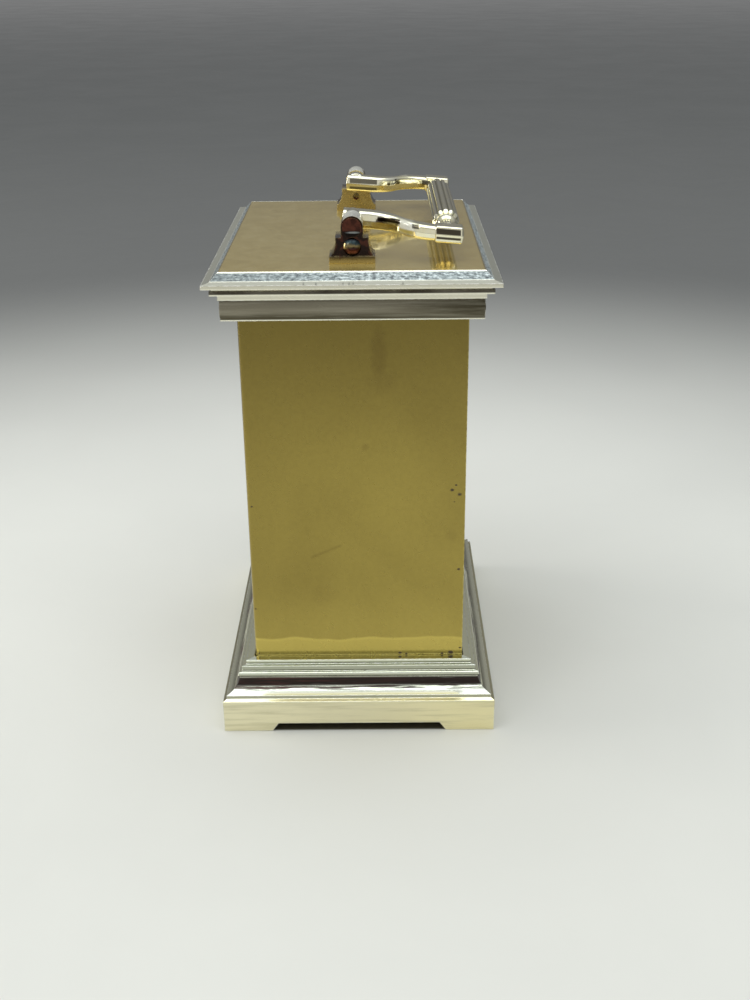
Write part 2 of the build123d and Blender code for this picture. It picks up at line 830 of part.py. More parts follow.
def movement_front_shell():
    bottom = bay_floor - movement_wall
    body = movement_block(movement_half, bottom, movement_half, movement_front, inner_back)
    body -= movement_block(inner_half, bay_floor, bay_wall_bottom, inner_front, movement_back)
    body -= movement_block(inner_half, bay_wall_top, inner_half, inner_front, movement_back)
    plate_front = layer(plate_layer)
    for place in post_places():
        body += at_axis(post_radius, inner_front, plate_front, place)
        body += at_axis(post_neck_radius, plate_front, inner_back, place)
        depth = movement_screw_depth + press_gap
        body -= at_axis(movement_screw_radius + press_gap, inner_back - depth, inner_back, place)
    bush_front = dial_front - bush_reach
    body += at_axis(bush_radius, bush_front, inner_front, (0, 0))
    body -= at_axis(hour_pipe_radius + running_gap, bush_front - past, inner_front + past, (0, 0))
    body -= at_axis(motion_pivot_radius + running_gap, movement_front - past, inner_front + past, motion_axis)
    return body


def movement_rear_cover():
    body = movement_block(movement_half, bay_wall_bottom, movement_half, inner_back, movement_back)
    stator_back = stator_front + stator_thickness
    for x in stator_pillars():
        body += at_axis(pillar_radius, stator_back, inner_back, (x, motion_distance))
    for place in post_places():
        body -= at_axis(movement_screw_radius + running_gap, inner_back - past, movement_back + past, place)
    for axis, radius in (
        ((0, 0), seconds_arbor_radius), (third_axis, arbor_radius), (step_axis, arbor_radius),
        (rotor_axis, arbor_radius), (motion_axis, motion_arbor_radius),
    ):
        body -= at_axis(radius + running_gap, inner_back - past, movement_back + past, axis)
    return body


def train_plate():
    front_y = layer(plate_layer)
    back_y = front_y + wheel_thickness
    half_x = inner_half - layer_gap
    body = movement_block(half_x, bay_wall_top + layer_gap, inner_half - layer_gap, front_y, back_y)
    holes = [(place, post_neck_radius + running_gap) for place in post_places()]
    holes += [(axis, arbor_radius + running_gap) for axis in (third_axis, step_axis, rotor_axis)]
    holes += [((0, 0), minute_pipe_tail_radius + running_gap), (motion_axis, motion_arbor_radius + layer_gap)]
    for axis, radius in holes:
        body -= at_axis(radius, front_y - past, back_y + past, axis)
    return body


def movement_screws():
    screws = []
    for place in post_places():
        shank = at_axis(movement_screw_radius, inner_back - movement_screw_depth, movement_back, place)
        head_end = movement_back + movement_screw_head_height
        screws.append(shank + at_axis(movement_screw_head_radius, movement_back, head_end, place))
    return screws


def mounting_washer():
    ring = at_axis(washer_radius, dial_front - washer_thickness, dial_front, (0, 0))
    return ring - at_axis(bush_radius + bush_gap, dial_front - past, dial_front + past, (0, 0))


def mounting_nut():
    hexagon = RegularPolygon(nut_across / 2, 6, major_radius=False) - Circle(bush_radius + press_gap)
    back = dial_front - washer_thickness
    return face_plate(hexagon, back - nut_thickness, back, 0, middle)


def gear_face(teeth, module, phase):
    # Straight-sided teeth with room to spare between them
    pitch = teeth * module / 2
    tip, root = pitch + tooth_addendum * module, pitch - tooth_dedendum * module
    half = tooth_share * pi / teeth
    points = []
    for i in range(teeth):
        angle = phase + 2 * pi * i / teeth
        for radius, turn in (
            (root, -tooth_root_share), (tip, -tooth_tip_share),
            (tip, tooth_tip_share), (root, tooth_root_share),
        ):
            place = angle + turn * half
            points.append((radius * cos(place), radius * sin(place)))
    return make_face(Polyline(*points, close=True))


def gear(axis, toward, teeth, module, number, turn):
    facing = atan2(toward[1] - axis[1], toward[0] - axis[0])
    face = gear_face(teeth, module, facing + turn)
    return face_plate(face, layer(number), layer(number) + wheel_thickness, axis[0], middle + axis[1])


def wheel(axis, toward, teeth, module, number):
    # A gap between teeth faces the gear it meets
    return gear(axis, toward, teeth, module, number, pi / teeth)


def pinion(axis, toward, teeth, module, number):
    # A tooth faces the wheel it meets
    return gear(axis, toward, teeth, module, number, 0.0)


def arbor(axis, radius, y0):
    return at_axis(radius, y0, inner_back + movement_wall / 2, axis)


def hour_wheel():
    front_y = hour_hand_front - pipe_tip
    body = wheel((0, 0), motion_axis, hour_teeth, hour_module, hour_layer)
    body += at_axis(hour_pipe_radius, front_y, layer(hour_layer), (0, 0))
    bore_end = layer(hour_layer) + wheel_thickness + past
    return body - at_axis(minute_pipe_radius + running_gap, front_y - past, bore_end, (0, 0))


def minute_pipe():
    front_y = minute_hand_front - pipe_tip
    body = pinion((0, 0), motion_axis, minute_teeth, motion_module, minute_layer)
    body += at_axis(minute_pipe_radius, front_y, layer(minute_layer), (0, 0))
    tail_end = layer(centre_layer) + wheel_thickness + pipe_tip
    body += at_axis(minute_pipe_tail_radius, layer(minute_layer), tail_end, (0, 0))
    return body - at_axis(seconds_arbor_radius + running_gap, front_y - past, tail_end + past, (0, 0))


def motion_wheel():
    body = wheel(motion_axis, (0, 0), motion_teeth, motion_module, minute_layer)
    body += pinion(motion_axis, (0, 0), motion_pinion_teeth, hour_module, hour_layer)
    pivot_front = movement_front + movement_wall / 4
    body += at_axis(motion_pivot_radius, pivot_front, layer(hour_layer), motion_axis)
    return body + at_axis(motion_arbor_radius, layer(hour_layer), knob_front + knob_height / 2, motion_axis)


def setting_knob():
    front_y = knob_front
    body = at_axis(knob_radius, front_y, front_y + knob_height, motion_axis)
    for i in range(knob_grooves):
        angle = 2 * pi * i / knob_grooves
        place = (motion_axis[0] + knob_radius * cos(angle), motion_axis[1] + knob_radius * sin(angle))
        body -= at_axis(knob_groove_radius, front_y - past, front_y + knob_height + past, place)
    return body - at_axis(
        motion_arbor_radius + press_gap, front_y - past, front_y + knob_height / 2 + press_gap, motion_axis
    )


def seconds_wheel():
    tip = second_hand_front - pipe_tip
    body = wheel((0, 0), step_axis, seconds_teeth, seconds_module, seconds_layer)
    body += pinion((0, 0), third_axis, train_pinion_teeth, third_module, third_layer)
    return body + arbor((0, 0), seconds_arbor_radius, tip)


def third_wheel():
    body = wheel(third_axis, (0, 0), third_teeth, third_module, third_layer)
    body += pinion(third_axis, (0, 0), train_pinion_teeth, centre_module, centre_layer)
    return body + arbor(third_axis, arbor_radius, layer(plate_layer))


def centre_wheel():
    body = wheel((0, 0), third_axis, centre_teeth, centre_module, centre_layer)
    front_y = layer(centre_layer)
    bore = minute_pipe_tail_radius + press_gap
    return body - at_axis(bore, front_y - past, front_y + wheel_thickness + past, (0, 0))


def intermediate_wheel():
    body = wheel(step_axis, rotor_axis, step_teeth, step_module, step_layer)
    body += pinion(step_axis, (0, 0), train_pinion_teeth, seconds_module, seconds_layer)
    return body + arbor(step_axis, arbor_radius, layer(plate_layer))


def rotor_pinion():
    body = pinion(rotor_axis, step_axis, train_pinion_teeth, step_module, step_layer)
    return body + arbor(rotor_axis, arbor_radius, layer(plate_layer))


def rotor_magnet():
    front_y = layer(rotor_layer)
    back_y = front_y + magnet_length
    body = at_axis(magnet_radius, front_y, back_y, rotor_axis)
    return body - at_axis(arbor_radius + press_gap, front_y - past, back_y + past, rotor_axis)


def stator_pillars():
    return (-stator_left + stator_leg / 2, -stator_right - stator_leg / 2)


def upright(x0, x1, z0, z1, y0, y1):
    return block(x0, x1, y0, y1, middle + z0, middle + z1)


def stator_plate():
    y0 = stator_front
    y1 = y0 + stator_thickness
    low = rotor_axis[1] - stator_width / 2
    body = upright(-stator_left, -stator_right, low, low + stator_width, y0, y1)
    for x in stator_pillars():
        body += upright(x - stator_leg / 2, x + stator_leg / 2, low, stator_top, y0, y1)
    return body - at_axis(magnet_radius + magnet_gap, y0 - past, y1 + past, rotor_axis)


def coil_core():
    y1 = stator_front
    low = stator_top - stator_leg
    return upright(-stator_left, -stator_right, low, stator_top, y1 - stator_thickness, y1)


def coil_winding():
    y = coil_y
    left, right = stator_pillars()
    z = stator_top - stator_leg / 2
    margin = stator_leg / 2 + coil_margin
    body = bar_x(coil_radius, left + margin, right - margin, y, middle + z)
    half_z, half_y = stator_leg / 2 + press_gap, stator_thickness / 2 + press_gap
    return body - upright(left, right, z - half_z, z + half_z, y - half_y, y + half_y)


def circuit_board():
    right, top = board_left + board_width, board_bottom + board_height
    return upright(board_left, right, board_bottom, top, inner_back - board_thickness, inner_back)


def quartz_crystal():
    y = inner_back - board_thickness - crystal_radius
    z = middle + board_bottom + board_height - 2 * crystal_radius
    x = board_left + board_width / 2
    return bar_x(crystal_radius, x - crystal_length / 2, x + crystal_length / 2, y, z)


def driver_chip():
    y1 = inner_back - board_thickness
    x, z = board_left + board_width / 2, board_bottom + board_height / 3
    half = chip_size / 2
    return upright(x - half, x + half, z - half, z + half, y1 - chip_thickness, y1)


def battery():
    half = battery_length / 2
    z = middle + battery_z
    can = bar_x(battery_radius, -half, half - nub_length, battery_y, z)
    return can + bar_x(nub_radius, half - nub_length, half, battery_y, z)


def battery_contact(side):
    half_z = battery_radius / 2
    z = middle + battery_z
    x0, x1 = inner_half - contact_thickness, inner_half
    plate = block(x0, x1, inner_front, battery_y + half_z, z - half_z, z + half_z)
    plate += bar_x(contact_spring_radius, battery_length / 2, x0, battery_y, z)
    return plate if side > 0 else mirror(plate, about=Plane.YZ)


def hand(outline, angle, hub, bore, front_y):
    # Drawn pointing up, then turned clockwise as seen from the dial side
    face = (Rot(0, 0, -angle) * make_face(outline)) + Circle(hub)
    return face_plate(face - Circle(bore), front_y, front_y + hand_thickness, 0, middle)


def leaf(length, width):
    belly = hand_belly * length
    return Polyline(
        (-width / 4, 0), (-width / 2, belly), (0, length), (width / 2, belly), (width / 4, 0), close=True
    )


def hour_hand():
    angle = 30 * (hour_shown + minute_shown / 60)
    bore = hour_pipe_radius + press_gap
    outline = leaf(hour_hand_length, hour_hand_width)
    return hand(outline, angle, hour_hub_radius, bore, hour_hand_front)


def minute_hand():
    bore = minute_pipe_radius + press_gap
    outline = leaf(minute_hand_length, minute_hand_width)
    return hand(outline, 6 * minute_shown, minute_hub_radius, bore, minute_hand_front)


def second_hand():
    half = second_hand_width / 2
    outline = Polyline(
        (-half, -second_hand_tail), (-half / 2, second_hand_length),
        (half / 2, second_hand_length), (half, -second_hand_tail), close=True,
    )
    bore = seconds_arbor_radius + press_gap
    return hand(outline, 6 * second_shown, second_hub_radius, bore, second_hand_front)


def rear_door():
    # A flat leaf with its hinge edge rolled round the pins
    leaf_plate = block(door_edge, hinge_x, door_front, half_depth, door_bottom, door_top)
    body = leaf_plate + bar_z(hinge_radius, door_bottom, door_top, hinge_x, hinge_y)
    bite = hinge_pin_bite + press_gap
    for z0, z1 in ((door_bottom, door_bottom + bite), (door_top - bite, door_top)):
        body -= bar_z(hinge_pin_radius + press_gap, z0, z1, hinge_x, hinge_y)
    return body


def door_hinge_pins():
    low = bar_z(hinge_pin_radius, base_seat - hinge_pin_seat, door_bottom + hinge_pin_bite, hinge_x, hinge_y)
    high = bar_z(hinge_pin_radius, door_top - hinge_pin_bite, cornice_seat + hinge_pin_seat, hinge_x, hinge_y)
    return [low, high]


def door_knob():
    x = door_edge + knob_from_edge
    stem_end = half_depth + door_knob_stem
    stem = bar_y(door_knob_stem_radius, half_depth, stem_end, x, middle)
    head = bar_y(door_knob_radius, stem_end, stem_end + door_knob_length, x, middle)
    head = fillet(head.edges().filter_by(GeomType.CIRCLE), door_knob_round)
    return stem + head


def strike_span():
    return sheet - half_width, sheet - half_width + magnet_width


def door_strike_plate():
    x0, x1 = strike_span()
    half = magnet_height / 2
    y0 = door_front - strike_thickness
    return block(max(x0, door_edge), x1, y0, door_front, middle - half, middle + half)


def door_magnet():
    x0, x1 = strike_span()
    half = magnet_height / 2
    return block(x0, x1, magnet_front, magnet_back, middle - half, middle + half)


nodes = {
    "base_plinth": base_plinth(),
    "base_plate": base_plate(),
    "case_shell": case_shell(),
    "top_cornice": top_cornice(),
    "top_plate": top_plate(),
    "tie_rods": tie_rods(),
    "tie_rod_nuts": tie_rod_nuts(),
    "bracket_right": bracket(1),
    "bracket_left": bracket(-1),
    "bracket_screws": bracket_screws(),
    "bracket_rivets": bracket_rivets(),
    "handle_pivot_pins": handle_pivot_pins(),
    "handle_arm_right": handle_arm(1),
    "handle_arm_left": handle_arm(-1),
    "handle_grip": handle_grip(),
    "grip_collars": grip_collars(),
    "grip_rod": grip_rod(),
    "front_bezel": front_bezel(),
    "front_glass": front_glass(),
    "dial_frame": dial_frame(),
    "dial_plate": dial_plate(),
    "dial_screws": dial_screws(),
    "movement_front_shell": movement_front_shell(),
    "movement_rear_cover": movement_rear_cover(),
    "train_plate": train_plate(),
    "movement_screws": movement_screws(),
    "mounting_washer": mounting_washer(),
    "mounting_nut": mounting_nut(),
    "hour_wheel": hour_wheel(),
    "minute_pipe": minute_pipe(),
    "motion_wheel": motion_wheel(),
    "setting_knob": setting_knob(),
    "seconds_wheel": seconds_wheel(),
    "third_wheel": third_wheel(),
    "centre_wheel": centre_wheel(),
    "intermediate_wheel": intermediate_wheel(),
    "rotor_pinion": rotor_pinion(),
    "rotor_magnet": rotor_magnet(),
    "stator_plate": stator_plate(),
    "coil_core": coil_core(),
    "coil_winding": coil_winding(),
    "circuit_board": circuit_board(),
    "quartz_crystal": quartz_crystal(),
    "driver_chip": driver_chip(),
    "battery": battery(),
    "battery_contact_positive": battery_contact(1),
    "battery_contact_negative": battery_contact(-1),
    "hour_hand": hour_hand(),
    "minute_hand": minute_hand(),
    "second_hand": second_hand(),
    "rear_door": rear_door(),
    "door_hinge_pins": door_hinge_pins(),
    "door_knob": door_knob(),
    "door_strike_plate": door_strike_plate(),
    "door_magnet": door_magnet(),
}

os.makedirs("parts", exist_ok=True)
for name, piece in nodes.items():
    solid = Compound(children=piece) if isinstance(piece, list) else piece
    export_step(solid, f"parts/{name}.step")
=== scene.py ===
import math
import bmesh
import bpy
from mathutils import Matrix, Vector


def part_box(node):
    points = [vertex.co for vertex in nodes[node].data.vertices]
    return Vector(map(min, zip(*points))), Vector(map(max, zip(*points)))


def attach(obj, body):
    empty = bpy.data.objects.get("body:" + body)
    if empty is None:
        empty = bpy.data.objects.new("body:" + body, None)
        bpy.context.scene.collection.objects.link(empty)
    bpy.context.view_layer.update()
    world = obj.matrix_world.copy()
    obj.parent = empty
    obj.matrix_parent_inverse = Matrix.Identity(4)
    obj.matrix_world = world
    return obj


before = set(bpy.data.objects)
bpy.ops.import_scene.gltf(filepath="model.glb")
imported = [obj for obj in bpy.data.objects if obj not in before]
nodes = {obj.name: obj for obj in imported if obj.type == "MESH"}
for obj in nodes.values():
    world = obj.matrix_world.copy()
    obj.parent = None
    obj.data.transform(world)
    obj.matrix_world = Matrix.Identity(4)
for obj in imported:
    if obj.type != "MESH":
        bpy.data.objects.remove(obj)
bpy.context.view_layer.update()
mm = 0.001
print("frame loaded:", len(nodes), "CAD pieces")


# helpers for node trees

def setSocket(socket, value):
    if isinstance(value, bpy.types.NodeSocket):
        socket.id_data.links.new(value, socket)
    elif socket.type == "RGBA" and len(value) == 3:
        socket.default_value = (*value, 1.0)
    else:
        socket.default_value = value


def feed(node, values):
    for key, value in values.items():
        setSocket(node.inputs[key], value)


def addNode(tree, kind, values=None, **settings):
    node = tree.nodes.new("ShaderNode" + kind)
    for key, value in settings.items():
        setattr(node, key, value)
    feed(node, values or {})
    return node


def treeOf(*values):
    # the tree of the first socket among the values
    return next(value.id_data for value in values if isinstance(value, bpy.types.NodeSocket))


def calc(operation, first, second=0.0):
    return addNode(treeOf(first, second), "Math", {0: first, 1: second}, operation=operation).outputs[0]


def chained(operation):
    def joined(first, *others):
        for other in others:
            first = calc(operation, first, other)
        return first
    return joined


times, plus, minus, most = [chained(name) for name in ("MULTIPLY", "ADD", "SUBTRACT", "MAXIMUM")]


def absolute(value):
    return calc("ABSOLUTE", value)


def calcVector(operation, first, second):
    return addNode(treeOf(first), "VectorMath", {0: first, 1: second}, operation=operation).outputs[0]


def lengthOf(vector):
    return addNode(treeOf(vector), "VectorMath", {0: vector}, operation="LENGTH").outputs["Value"]


def ramp(value, low, high, toLow=0.0, toHigh=1.0):
    values = {"Value": value, "From Min": low, "From Max": high, "To Min": toLow, "To Max": toHigh}
    return addNode(treeOf(value), "MapRange", values, interpolation_type="SMOOTHSTEP").outputs["Result"]


def spread(noise, low, high):
    return ramp(noise, 0.3, 0.7, low, high)  # noise rarely leaves this range


def between(mask, bare, covered):
    return ramp(mask, 0.0, 1.0, bare, covered)


def mixColor(share, first, second):
    node = addNode(treeOf(share), "Mix", data_type="RGBA")
    for index, value in ((0, share), (6, first), (7, second)):
        setSocket(node.inputs[index], value)
    return node.outputs[2]


def lay(color, tint, mask, share=None):
    # a tint laid over the colour where the mask says
    return mixColor(mask if share is None else times(mask, share), color, tint)


def darker(color, share):
    return tuple(share * value for value in color)


def sweepColors(value, steps, blend="LINEAR"):
    node = addNode(treeOf(value), "ValToRGB", {0: value})
    node.color_ramp.interpolation = blend
    spots = node.color_ramp.elements
    while len(spots) < len(steps):
        spots.new(0.5)
    for spot, (at, color) in zip(spots, steps):
        spot.position = at
        spot.color = (*color, 1.0)
    return node.outputs[0]


def noiseOf(tree, values):
    return addNode(tree, "TexNoise", values).outputs[0]


def objectPoint(tree):
    return addNode(tree, "TexCoord").outputs["Object"]


def axes(vector):
    return tuple(addNode(treeOf(vector), "SeparateXYZ", {0: vector}).outputs)


def where(tree):
    return axes(objectPoint(tree))


def facing(tree):
    return axes(addNode(tree, "NewGeometry").outputs["Normal"])


def startGroup(name, given, returned):
    tree = bpy.data.node_groups.new(name, "ShaderNodeTree")
    for label, value in given.items():
        kind = "NodeSocketVector" if isinstance(value, tuple) else "NodeSocketFloat"
        tree.interface.new_socket(label, in_out="INPUT", socket_type=kind).default_value = value
    for label in returned:
        kind = "NodeSocketVector" if label == "Normal" else "NodeSocketFloat"
        tree.interface.new_socket(label, in_out="OUTPUT", socket_type=kind)
    return tree, tree.nodes.new("NodeGroupInput").outputs, tree.nodes.new("NodeGroupOutput")


def place(tree, group, **values):
    # gives the outputs of a group, or the one socket where it has no more
    node = addNode(tree, "Group", node_tree=group)
    feed(node, {key.capitalize(): value for key, value in values.items()})
    return node.outputs if len(node.outputs) > 1 else node.outputs[0]


def startFinish(name):
    material = bpy.data.materials.new(name)
    material.use_nodes = True
    tree = material.node_tree
    return material, tree, tree.nodes["Principled BSDF"]


def cover(shader, color, rough, metallic=0.0):
    feed(shader, {"Base Color": color, "Roughness": rough, "Metallic": metallic})


# shared effects, each built once

def makeEdgeRub():
    # rounds sharp edges for the light, and says where hands have rubbed them
    tree, given, result = startGroup("edgeRub", {"Radius": 0.2 * mm, "Reach": 0.6 * mm}, ("Mask", "Normal"))
    soft = addNode(tree, "Bevel", {"Radius": given["Radius"]}, samples=6).outputs[0]
    wide = addNode(tree, "Bevel", {"Radius": given["Reach"]}, samples=4).outputs[0]
    flat = addNode(tree, "NewGeometry").outputs["Normal"]
    bend = addNode(tree, "VectorMath", {0: wide, 1: flat}, operation="DOT_PRODUCT").outputs["Value"]
    breaks = noiseOf(tree, {"Vector": objectPoint(tree), "Scale": 900.0, "Detail": 3.0})
    edge = times(ramp(bend, 0.99, 0.86), ramp(breaks, 0.35, 0.6))
    feed(result, {"Mask": edge, "Normal": soft})
    return tree


def makeFineScratches():
    # hair scratches in three directions
    tree, given, result = startGroup("fineScratches", {"Scale": 2500.0, "Cut": 0.66}, ("Mask",))
    point = objectPoint(tree)
    lines = []
    for turn in ((0.3, 0.9, 0.5), (1.2, 0.2, 1.9), (2.2, 1.4, 0.1)):
        turned = addNode(tree, "Mapping", {"Vector": point, "Rotation": turn}).outputs[0]
        drawn = calcVector("MULTIPLY", turned, (0.04, 1.0, 1.0))
        noise = noiseOf(tree, {"Vector": drawn, "Scale": given["Scale"], "Detail": 1.0})
        lines.append(ramp(noise, given["Cut"], plus(given["Cut"], 0.05)))
    feed(result, {"Mask": most(*lines)})
    return tree


def makeDrawnGrain():
    # grain drawn out along one direction by Stretch
    tree, given, result = startGroup(
        "drawnGrain", {"Stretch": (50.0, 3000.0, 3000.0), "Detail": 3.0}, ("Value",)
    )
    drawn = calcVector("MULTIPLY", objectPoint(tree), given["Stretch"])
    values = {"Vector": drawn, "Scale": 1.0, "Detail": given["Detail"], "Roughness": 0.65}
    feed(result, {"Value": noiseOf(tree, values)})
    return tree


def makeCloudPatches():
    # soft uneven areas: tarnish, smears, colour drift
    tree, given, result = startGroup(
        "cloudPatches", {"Scale": 60.0, "Low": 0.45, "High": 0.65, "Ragged": 0.6}, ("Mask", "Value")
    )
    noise = noiseOf(tree, {
        "Vector": objectPoint(tree), "Scale": given["Scale"], "Detail": 6.0,
        "Roughness": given["Ragged"], "Distortion": 0.4,
    })
    feed(result, {"Mask": ramp(noise, given["Low"], given["High"]), "Value": noise})
    return tree


def makePitSpecks():
    # small round pits or grains, only in a share of the cells
    tree, given, result = startGroup("pitSpecks", {"Scale": 400.0, "Size": 0.2, "Share": 0.2}, ("Mask",))
    cells = addNode(tree, "TexVoronoi", {"Vector": objectPoint(tree), "Scale": given["Scale"]}).outputs
    pick = addNode(tree, "SeparateColor", {0: cells["Color"]}).outputs
    size = times(given["Size"], ramp(pick[1], 0.0, 1.0, 0.4, 1.0))
    spot = ramp(cells["Distance"], size, times(size, 0.4))
    feed(result, {"Mask": times(spot, calc("LESS_THAN", pick[0], given["Share"]))})
    return tree


def makeHeightBand():
    # a level band between two heights, in metres
    tree, given, result = startGroup("heightBand", {"Low": 0.0, "High": 0.01, "Soft": 0.2 * mm}, ("Mask",))
    height = where(tree)[2]
    low, high, soft = given["Low"], given["High"], given["Soft"]
    above = ramp(height, minus(low, soft), plus(low, soft))
    below = ramp(height, plus(high, soft), minus(high, soft))
    feed(result, {"Mask": times(above, below)})
    return tree


def makeMarkAt():
    # one ragged mark at a place, sized along each axis
    tree, given, result = startGroup(
        "markAt", {"Center": (0.0, 0.0, 0.0), "Size": (0.005, 0.005, 0.005), "Ragged": 0.4}, ("Mask",)
    )
    point = objectPoint(tree)
    noise = noiseOf(tree, {"Vector": point, "Scale": 450.0, "Detail": 5.0, "Roughness": 0.7})
    offset = calcVector("SUBTRACT", point, given["Center"])
    away = lengthOf(calcVector("DIVIDE", offset, given["Size"]))
    wobble = times(minus(noise, 0.5), given["Ragged"])
    feed(result, {"Mask": ramp(plus(away, wobble), 1.0, 0.25)})
    return tree


def makeBandAt():
    # one straight band: half sizes along the axes, sloping down towards +Y
    tree, given, result = startGroup(
        "bandAt",
        {"Center": (0.0, 0.0, 0.0), "Half": (0.005, 0.003, 0.001), "Slope": 0.0, "Soft": 0.1 * mm},
        ("Mask",),
    )
    x, y, z = axes(calcVector("SUBTRACT", objectPoint(tree), given["Center"]))
    level = plus(z, times(y, given["Slope"]))
    insides = []
    for away, reach in zip((x, y, level), axes(given["Half"])):
        over = minus(absolute(away), reach)
        insides.append(ramp(over, given["Soft"], times(given["Soft"], -1.0)))
    feed(result, {"Mask": times(*insides)})
    return tree


edgeRub = makeEdgeRub()
fineScratches = makeFineScratches()
drawnGrain = makeDrawnGrain()
cloudPatches = makeCloudPatches()
pitSpecks = makePitSpecks()
heightBand = makeHeightBand()
markAt = makeMarkAt()
bandAt = makeBandAt()
print("shared effects built")


# camera at the photo's angle

cameraSetup = {
    "place": (328.03 * mm, 6.44 * mm, 194.57 * mm),
    "yaw": -0.00546649,
    "pitch": 0.42360877,
    "roll": -0.01022417,
    "lens": 44.470,
    "sensor": 36.0,
    "clipStart": 0.01,
}


def makeCamera(setup):
    yaw, pitch, roll = setup["yaw"], setup["pitch"], setup["roll"]
    ahead = Vector((-math.cos(yaw) * math.cos(pitch), math.sin(yaw) * math.cos(pitch), -math.sin(pitch)))
    right = Vector((math.sin(yaw), math.cos(yaw), 0.0))
    up = right.cross(ahead)
    rightTilted = math.cos(roll) * right + math.sin(roll) * up
    upTilted = math.cos(roll) * up - math.sin(roll) * right
    data = bpy.data.cameras.new("photoCamera")
    data.sensor_width = setup["sensor"]
    data.lens = setup["lens"]
    data.clip_start = setup["clipStart"]
    camera = bpy.data.objects.new("photoCamera", data)
    turn = Matrix((rightTilted, upTilted, -ahead)).transposed().to_4x4()
    camera.matrix_world = Matrix.Translation(setup["place"]) @ turn
    bpy.context.scene.collection.objects.link(camera)
    bpy.context.scene.camera = camera


makeCamera(cameraSetup)
bpy.context.scene.view_settings.view_transform = "Standard"
print("camera placed")


# floor, room and lamps

black = (0.0, 0.0, 0.0)
floorSetup = {
    "rings": (0.3, 1.0, 30.0),
    "sides": 64,
    "drop": 0.05 * mm,
    "pale": (0.72, 0.71, 0.66),
    "far": (0.15, 0.15, 0.145),
    "farFront": (0.42, 0.41, 0.38),
    "frontReach": (-0.25, 0.35),
    "litPoolCenter": (0.08, 0.0, 0.0),
    "litPool": (0.18, 0.58),
    "under": (0.075, 0.068, 0.045),  # in the shade of the clock
    "underHalf": (47.9 * mm, 36.1 * mm, 5.0 * mm),
    "haze": (0.9, 6.0),
    "rough": (0.5, 0.62),
}


def makeFloorMesh(setup):
    form = bmesh.new()
    sides = setup["sides"]
    turns = [2 * math.pi * i / sides for i in range(sides)]
    center = form.verts.new((0.0, 0.0, 0.0))
    last = None
    for radius in setup["rings"]:
        ring = [form.verts.new((radius * math.cos(turn), radius * math.sin(turn), 0.0)) for turn in turns]
        for i in range(sides):
            follow = (i + 1) % sides
            if last is None:
                form.faces.new((center, ring[i], ring[follow]))
            else:
                form.faces.new((last[i], ring[i], ring[follow], last[follow]))
        last = ring
    mesh = bpy.data.meshes.new("studioFloor")
    form.to_mesh(mesh)
    form.free()
    return mesh


def makeFloor(setup, room):
    mesh = makeFloorMesh(setup)
    floor = bpy.data.objects.new("studioFloor", mesh)
    floor.location.z = -setup["drop"]
    bpy.context.scene.collection.objects.link(floor)
    material, tree, shader = startFinish("paleFloor")
    point = objectPoint(tree)
    # a painted pool of light: the floor is pale near the clock and darker away from it, darkest behind it,
    # with a painted shadow under the clock
    away = lengthOf(calcVector("SUBTRACT", point, setup["litPoolCenter"]))
    patch = place(tree, cloudPatches, scale=9.0, low=0.3, high=0.7)
    pale = mixColor(patch["Mask"], darker(setup["pale"], 0.97), setup["pale"])
    far = mixColor(ramp(axes(point)[0], *setup["frontReach"]), setup["far"], setup["farFront"])
    under = place(tree, bandAt, half=setup["underHalf"], soft=0.5 * mm)
    color = lay(lay(pale, far, ramp(away, *setup["litPool"])), setup["under"], under)
    # the far floor takes the room's own colour, so that no edge shows behind the clock
    haze = ramp(away, *setup["haze"])
    bearing = addNode(tree, "VectorMath", {0: point}, operation="NORMALIZE").outputs[0]
    toOpen = ramp(axes(bearing)[0], *room["openReach"])
    glow = mixColor(toOpen, room["steps"][0][1], room["open"])
    cover(shader, mixColor(haze, color, black), spread(patch["Value"], *setup["rough"]))
    emission = mixColor(haze, black, glow)
    feed(shader, {"Specular IOR Level": 0.25, "Emission Color": emission, "Emission Strength": 1.0})
    mesh.materials.append(material)


worldSetup = {
    "steps": [  # sine of the elevation, colour
        (0.00, (0.15, 0.15, 0.15)),
        (0.12, (0.19, 0.19, 0.19)),
        (0.42, (0.36, 0.365, 0.37)),
        (0.75, (0.54, 0.57, 0.59)),
        (1.00, (0.80, 0.86, 0.89)),
    ],
    "open": (0.62, 0.62, 0.60),  # the bright end of the room, behind the photo's camera
    "openReach": (0.1, 0.7),
    "openHeight": (0.55, 0.12),
}


def makeWorld(setup):
    world = bpy.data.worlds.new("softRoom")
    world.use_nodes = True
    tree = world.node_tree
    x, _, z = axes(addNode(tree, "TexCoord").outputs["Generated"])
    sweep = sweepColors(z, setup["steps"], "EASE")
    ahead = times(ramp(x, *setup["openReach"]), ramp(z, *setup["openHeight"]))
    feed(tree.nodes["Background"], {0: mixColor(ahead, sweep, setup["open"]), 1: 1.0})
    bpy.context.scene.world = world


lampSetup = {
    "overhead": {
        "place": (0.15, 0.0, 1.1), "aim": (0.1, 0.0, 0.05), "size": 1.4, "power": 8.5,
        "color": (0.96, 1.0, 1.0),
    },
    "fill": {
        "place": (0.55, -0.75, 0.65), "aim": (0.0, 0.0, 0.07), "size": 0.4, "power": 0.9,
        "color": (1.0, 0.98, 0.95),
    },
    "front": {
        "place": (-0.10, -1.0, 0.24), "aim": (0.0, -0.03, 0.07), "size": 0.4, "power": 4.6,
        "color": (1.0, 0.99, 0.96),
    },
}


def makeLamp(name, setup):
    data = bpy.data.lights.new(name, "AREA")
    data.shape = "SQUARE"
    data.size = setup["size"]
    data.energy = setup["power"]
    data.color = setup["color"]
    lamp = bpy.data.objects.new(name, data)
    lamp.location = setup["place"]
    aim = Vector(setup["aim"]) - Vector(setup["place"])
    lamp.rotation_euler = aim.to_track_quat("-Z", "Y").to_euler()
    bpy.context.scene.collection.objects.link(lamp)


